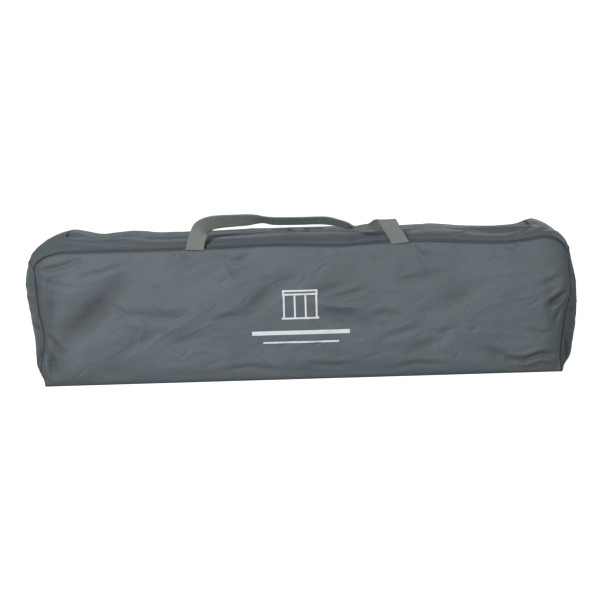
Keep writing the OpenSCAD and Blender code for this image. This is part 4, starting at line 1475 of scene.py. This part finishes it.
@dataclass
class FoldedMattress:
    """The mattress: five board-stiffened pads folded round the frame, and the two straps that hold them."""

    finishes: Finishes
    grain: Grain = field(default_factory=lambda: Grain(29))
    pad: float = 12.0

    def cushion(
        self, centre: Point, along: float, across: float, turn: float, seed: float
    ) -> tuple[np.ndarray, list]:
        """Makes one closed, crowned pad with three sewn channels.

        Args:
            centre: Middle of the pad in millimetres.
            along: Length along the bag.
            across: Width of the pad.
            turn: Turn about the bag's length in degrees; 0 is flat.
            seed: Shift that makes each pad differ.

        Returns:
            The pad's points, and its faces.
        """
        rows, columns = 27, 97
        v, u = np.meshgrid(np.linspace(-1, 1, columns), np.linspace(-1, 1, rows))
        pull = 1 - 2.4 / across * (1 - v**2) * 2
        y, x = u * across / 2 * pull, v * along / 2 * (1 - 1.2 / along * (1 - u**2) * 2)
        rim = np.minimum((1 - np.abs(u)) * across / 2, (1 - np.abs(v)) * along / 2)
        crown = np.clip(rim / 9, 0, 1) ** 0.45
        channel = sum(falloff(x - place * along, 3.2) for place in (-1 / 6, 1 / 6))
        soft = 0.8 * self.grain.at(x / 34 + seed, y / 22 - seed)
        soft = soft + 0.5 * self.grain.at(x / 11 - seed, y / 12 + seed)
        height = (self.pad / 2 - 0.7) * crown * (1 - 0.3 * channel) + (soft - 0.9) * np.clip(rim / 14, 0, 1)
        top = np.stack([x, y, np.maximum(height, 0.15)], axis=-1)
        low = np.stack([x, y, -np.maximum(height, 0.15)], axis=-1)[:, ::-1]
        points = np.concatenate([top.reshape(-1, 3), low.reshape(-1, 3)])
        c, s = math.cos(math.radians(turn)), math.sin(math.radians(turn))
        y, z = points[:, 1] * c - points[:, 2] * s, points[:, 1] * s + points[:, 2] * c
        points = np.stack([points[:, 0] + centre[0], y + centre[1], z + centre[2]], axis=1)
        faces = []
        for base in (0, rows * columns):
            index = np.arange(rows * columns).reshape(rows, columns) + base
            quads = np.stack([index[:-1, :-1], index[:-1, 1:], index[1:, 1:], index[1:, :-1]], axis=-1)
            faces += [tuple(q) for q in quads.reshape(-1, 4).tolist()]
        upper = np.arange(rows * columns).reshape(rows, columns)
        lower = upper[:, ::-1] + rows * columns
        first = np.concatenate([upper[0], upper[1:, -1], upper[-1, -2::-1], upper[-2:0:-1, 0]])
        second = np.concatenate([lower[0], lower[1:, -1], lower[-1, -2::-1], lower[-2:0:-1, 0]])
        n = len(first)
        for k in range(n):
            after = (k + 1) % n
            faces.append((int(first[after]), int(first[k]), int(second[k]), int(second[after])))
        return points, faces

    def build(self) -> None:
        """Makes the pads and the straps."""
        low, high = (np.array(v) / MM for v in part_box("mattress"))
        length, wide = high[0] - low[0], high[1] - low[1]
        half, gap = self.pad / 2, 0.4
        top = high[2] - 2 * self.pad - gap
        fold = high[1] - 48
        pads = (
            ((0, 0, low[2] + half), wide, 0.0),
            ((0, 0, top + half), wide, 0.0),
            ((0, low[1] + half, (low[2] + top) / 2 + half), top - low[2] - self.pad - gap, 90.0),
            ((0, high[1] - half, (low[2] + top) / 2 + half), top - low[2] - self.pad - gap, 90.0),
            ((0, (low[1] + fold) / 2, high[2] - half), fold - low[1], 0.0),
        )
        points, faces, start = [], [], 0
        for i, (centre, across, turn) in enumerate(pads):
            pad_points, pad_faces = self.cushion(centre, length - 2, across - 1, turn, 5.0 * i)
            points.append(pad_points)
            faces += [tuple(k + start for k in f) for f in pad_faces]
            start += len(pad_points)
        piece = new_piece("mattress_pads", np.concatenate(points), faces, "packed_bag")
        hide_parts("mattress")
        self.finishes.dress(piece, "mattress cover")
        self.straps()
        log.info("mattress: %d pads", len(pads))

    def straps(self) -> None:
        """Makes the two straps, each a closed band of webbing that sinks a little into the pads."""
        low, high = (np.array(v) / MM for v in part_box("mattress_straps"))
        inner_low, inner_high = (np.array(v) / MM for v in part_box("mattress"))
        width = 25.0
        y0, y1, z0, z1 = inner_low[1] + 0.2, inner_high[1] - 0.2, inner_low[2] - 0.2, inner_high[2] - 0.1
        r, loop = 5.0, []
        turns = ((y1 - r, z1 - r, 0), (y0 + r, z1 - r, 90), (y0 + r, z0 + r, 180), (y1 - r, z0 + r, 270))
        for cy, cz, start in turns:
            for t in np.radians(np.linspace(start, start + 90, 7)):
                loop.append((cy + r * math.cos(t), cz + r * math.sin(t)))
        corners = np.array([*loop, loop[0]])
        run = np.concatenate([[0], np.cumsum(np.linalg.norm(np.diff(corners, axis=0), axis=1))])
        at = np.linspace(0, run[-1], int(run[-1] / 2) + 1)
        line = np.stack([np.interp(at, run, corners[:, k]) for k in (0, 1)], axis=1)
        vertices, faces = [], []
        centres = (low[0] + width / 2, high[0] - width / 2)
        for centre in centres:
            for y, z in line:
                side = np.linspace(-0.5, 0.5, 5) * width + centre
                vertices += [(x, y, z) for x in side]
        rows = len(line)
        for b in range(len(centres)):
            for k in range(rows - 1):
                at = (b * rows + k) * 5
                faces += [(at + i, at + 5 + i, at + 6 + i, at + 1 + i) for i in range(4)]
        piece = new_piece("mattress_bands", np.array(vertices), faces, "packed_bag")
        set_uv(piece, np.array(vertices)[:, [0, 2]])
        solid = piece.modifiers.new("webbing thickness", "SOLIDIFY")
        solid.thickness, solid.offset = 0.9 * MM, 1
        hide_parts("mattress_straps")
        self.finishes.dress(piece, "strap webbing")


@dataclass
class FoldedWalls:
    """The four side walls of the pen, each folded into flat pleats between two posts."""

    finishes: Finishes
    grain: Grain = field(default_factory=lambda: Grain(53))
    pleats: int = 4

    def wall(self, node: str, seed: float) -> None:
        """Makes one folded wall in the space that the frame keeps for it.

        Args:
            node: Frame node that it stands for.
            seed: Shift that makes each wall differ.
        """
        low, high = (np.array(v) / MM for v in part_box(node))
        out = 1 if high[1] - low[1] < high[2] - low[2] else 2
        across = 3 - out
        half, middle = (high[across] - low[across]) / 2 - 2, (high[across] + low[across]) / 2
        pitch = (high[out] - low[out] - 3) / (self.pleats - 1)
        path: list[tuple[float, float]] = []
        for k in range(self.pleats):
            way, base = (1 if k % 2 == 0 else -1), low[out] + 1.5 + k * pitch
            reach = half - 3 - 1.5 * (k % 3)
            path += [(way * c * reach, base) for c in np.linspace(-1, 1, 40)]
            if k < self.pleats - 1:
                turns = np.linspace(-math.pi / 2, math.pi / 2, 7)[1:-1]
                for t in turns:
                    path.append((way * (reach + 2 * math.cos(t)), base + pitch / 2 * (1 + math.sin(t))))
        line = np.array(path)
        run = np.concatenate([[0], np.cumsum(np.linalg.norm(np.diff(line, axis=0), axis=1))])
        xs = np.linspace(low[0] + 1, high[0] - 1, 90)
        x, r = np.meshgrid(xs, run)
        wave = 0.5 * self.grain.at(x / 38 + seed, r / 30 + seed)
        grid = np.zeros((len(run), len(xs), 3))
        grid[..., 0] = x
        grid[..., across] = line[:, :1] + middle
        grid[..., out] = line[:, 1:] + wave
        piece = sheet_piece(f"{node}_cloth", grid, "packed_bag", 0)
        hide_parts(node)
        self.finishes.dress(piece, "wall cloth")

    def build(self) -> None:
        """Makes the four walls."""
        for k, node in enumerate(("wall_front", "wall_back", "wall_high", "wall_low")):
            self.wall(node, 3.0 * k)
        log.info("walls: 4 folded")


@dataclass
class Stitching:
    """Lock stitches along the seams of the bag."""

    cloth: BagCloth
    finishes: Finishes
    pitch: float = 4.0
    stitch: float = 2.8
    radius: float = 0.32

    def along(self, line: np.ndarray) -> tuple[list[np.ndarray], list[tuple[int, ...]]]:
        """Makes the stitches on a line that already lies on the cloth.

        Args:
            line: Points in millimetres.

        Returns:
            Points and faces of each stitch, numbered from 0.
        """
        path = resample(line, 0.5)
        step, length = int(self.pitch / 0.5), int(self.stitch / 0.5)
        points, faces = [], []
        for k in range(0, len(path) - length - 1, step):
            a, b = path[k], path[k + length]
            d = (b - a) / max(float(np.linalg.norm(b - a)), 1e-6)
            side = np.cross(d, (0.0, 0.0, 1.0) if abs(d[2]) < 0.9 else (0.0, 1.0, 0.0))
            side /= np.linalg.norm(side)
            up = np.cross(side, d)
            start = 4 * 3 * (k // step)
            for place, size in ((a, 0.5), ((a + b) / 2, 1.0), (b, 0.5)):
                for p, q in ((1, 0), (0, 1), (-1, 0), (0, -1)):
                    points.append(place + (side * p + up * q) * self.radius * size)
            for ring in (0, 4):
                for i in range(4):
                    faces.append(
                        (start + ring + i, start + ring + (i + 1) % 4,
                         start + ring + 4 + (i + 1) % 4, start + ring + 4 + i)
                    )
        return points, faces

    def build(self) -> None:
        """Makes the stitches of the bag's seams."""
        shape = self.cloth.shape
        a = self.cloth.columns()
        span = shape.half_depth - shape.recess
        lines = []
        proud = (0, 0, 0.15)
        from_seam, from_zip = 6, 3
        edge = 1 - from_seam / span
        for s in (-edge, edge):
            lines.append(self.cloth.top_grid(a, np.array([s]))[0] + proud)
        across = np.linspace(-edge, edge, 120)
        for column in (3, -4):
            lines.append(self.cloth.top_grid(a, across)[:, column] + proud)
        zip_out = shape.lid_half + ZIP_SLOT + from_zip
        row = np.linspace(-zip_out, zip_out, 500)
        beside = np.array([(shape.zip_line - ZIP_SLOT - from_zip) / span])
        lines.append(self.cloth.top_grid(row, beside)[0] + proud)
        points: list[np.ndarray] = []
        faces: list[tuple[int, ...]] = []
        for line in lines:
            new_points, new_faces = self.along(line)
            faces += [tuple(k + len(points) for k in f) for f in new_faces]
            points += new_points
        piece = new_piece("seam_stitches", np.array(points), faces, "packed_bag")
        self.finishes.dress(piece, "sewing thread")
        log.info("stitching: %d faces", len(faces))


# ---- Studio ----


@dataclass
class Studio:
    """Pale floor, soft light and camera."""

    distance: float = 3.0
    elevation: float = 6.0
    azimuth: float = 0.0
    roll: float = -1.7
    aim: tuple[float, float, float] = (0.0, 0.0, 0.106)
    view_width: float = 0.884

    def floor(self) -> None:
        """Lays a pale floor that runs out of sight."""
        bpy.ops.mesh.primitive_plane_add(size=60, location=(0, 0, -0.0005))
        floor = bpy.context.object
        floor.name = "floor"
        material, tree, shader = start_finish("pale floor", Roughness=0.9)
        shader.inputs["Base Color"].default_value = linear("#dcdcdc")
        path = add_node(tree, "ShaderNodeLightPath")
        glow = add_node(tree, "ShaderNodeEmission", {"Color": linear("#ffffff"), "Strength": 0.92})
        lit = add_node(tree, "ShaderNodeAddShader", {0: shader.outputs[0], 1: glow.outputs[0]})
        mix = add_node(
            tree,
            "ShaderNodeMixShader",
            {0: path.outputs["Is Camera Ray"], 1: shader.outputs[0], 2: lit.outputs[0]},
        )
        tree.links.new(mix.outputs[0], tree.nodes["Material Output"].inputs["Surface"])
        floor.data.materials.append(material)

    def sky(self) -> None:
        """Makes the backdrop white for the camera, and a dim grey light for everything else."""
        world = bpy.data.worlds.new("studio")
        bpy.context.scene.world = world
        world.use_nodes = True
        tree = world.node_tree
        tree.nodes.clear()
        path = add_node(tree, "ShaderNodeLightPath")
        white = add_node(tree, "ShaderNodeBackground", {"Color": linear("#ffffff"), "Strength": 1.05})
        dim = add_node(tree, "ShaderNodeBackground", {"Color": linear("#eef3f8"), "Strength": 0.2})
        mix = add_node(
            tree,
            "ShaderNodeMixShader",
            {0: path.outputs["Is Camera Ray"], 1: dim.outputs[0], 2: white.outputs[0]},
        )
        add_node(tree, "ShaderNodeOutputWorld", {"Surface": mix.outputs[0]})

    def lamp(self, name: str, place: Point, size: float, power: float) -> None:
        """Adds a soft square lamp that faces the bag.

        Args:
            name: The lamp's name.
            place: Where it stands, in metres.
            size: Side of the lamp.
            power: Power in watts.
        """
        data = bpy.data.lights.new(name, "AREA")
        data.size, data.energy = size, power
        lamp = bpy.data.objects.new(name, data)
        bpy.context.collection.objects.link(lamp)
        lamp.location = place
        lamp.rotation_euler = (Vector(self.aim) - Vector(place)).to_track_quat("-Z", "Y").to_euler()

    def camera(self) -> None:
        """Sets the camera at a low angle in front of the bag."""
        data = bpy.data.cameras.new("camera")
        camera = bpy.data.objects.new("camera", data)
        bpy.context.collection.objects.link(camera)
        a, e = math.radians(self.azimuth), math.radians(self.elevation)
        back = Vector((math.sin(a) * math.cos(e), -math.cos(a) * math.cos(e), math.sin(e)))
        camera.location = Vector(self.aim) + back * self.distance
        turn = (-back).to_track_quat("-Z", "Y").to_matrix() @ Matrix.Rotation(math.radians(self.roll), 3, "Z")
        camera.rotation_euler = turn.to_euler()
        data.sensor_width = 36
        data.lens = 36 * (self.distance - 0.12) / self.view_width
        bpy.context.scene.camera = camera

    def build(self) -> None:
        """Sets up the floor, light and camera."""
        self.floor()
        self.sky()
        self.lamp("key", (-1.0, -3.1, 1.35), 0.7, 102)
        self.lamp("fill", (1.6, -3.2, 0.9), 1.8, 6)
        self.lamp("top", (0.0, 0.2, 2.6), 1.6, 2)
        self.lamp("back", (1.2, 3.0, 1.0), 1.6, 16)
        self.lamp("side", (3.0, 0.8, 1.2), 1.6, 8)
        self.camera()
        scene = bpy.context.scene
        scene.view_settings.view_transform = "Standard"
        log.info("studio ready")


def main() -> None:
    """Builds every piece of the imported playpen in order."""
    logging.basicConfig(level=logging.INFO, format="%(name)s: %(message)s")
    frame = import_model()
    finishes = Finishes()
    finishes.build()
    shape = BagShape()
    cloth = BagCloth(shape, finishes)
    cloth.build()
    BagZip(shape, finishes).build()
    Handles(shape, finishes).build()
    PrintedMotif(cloth, finishes).build()
    Stitching(cloth, finishes).build()
    PackedPlaypen(finishes, frame["nodes"]).build()
    FoldedMattress(finishes).build()
    FoldedWalls(finishes).build()
    Studio().build()


if __name__ == "__main__":
    main()
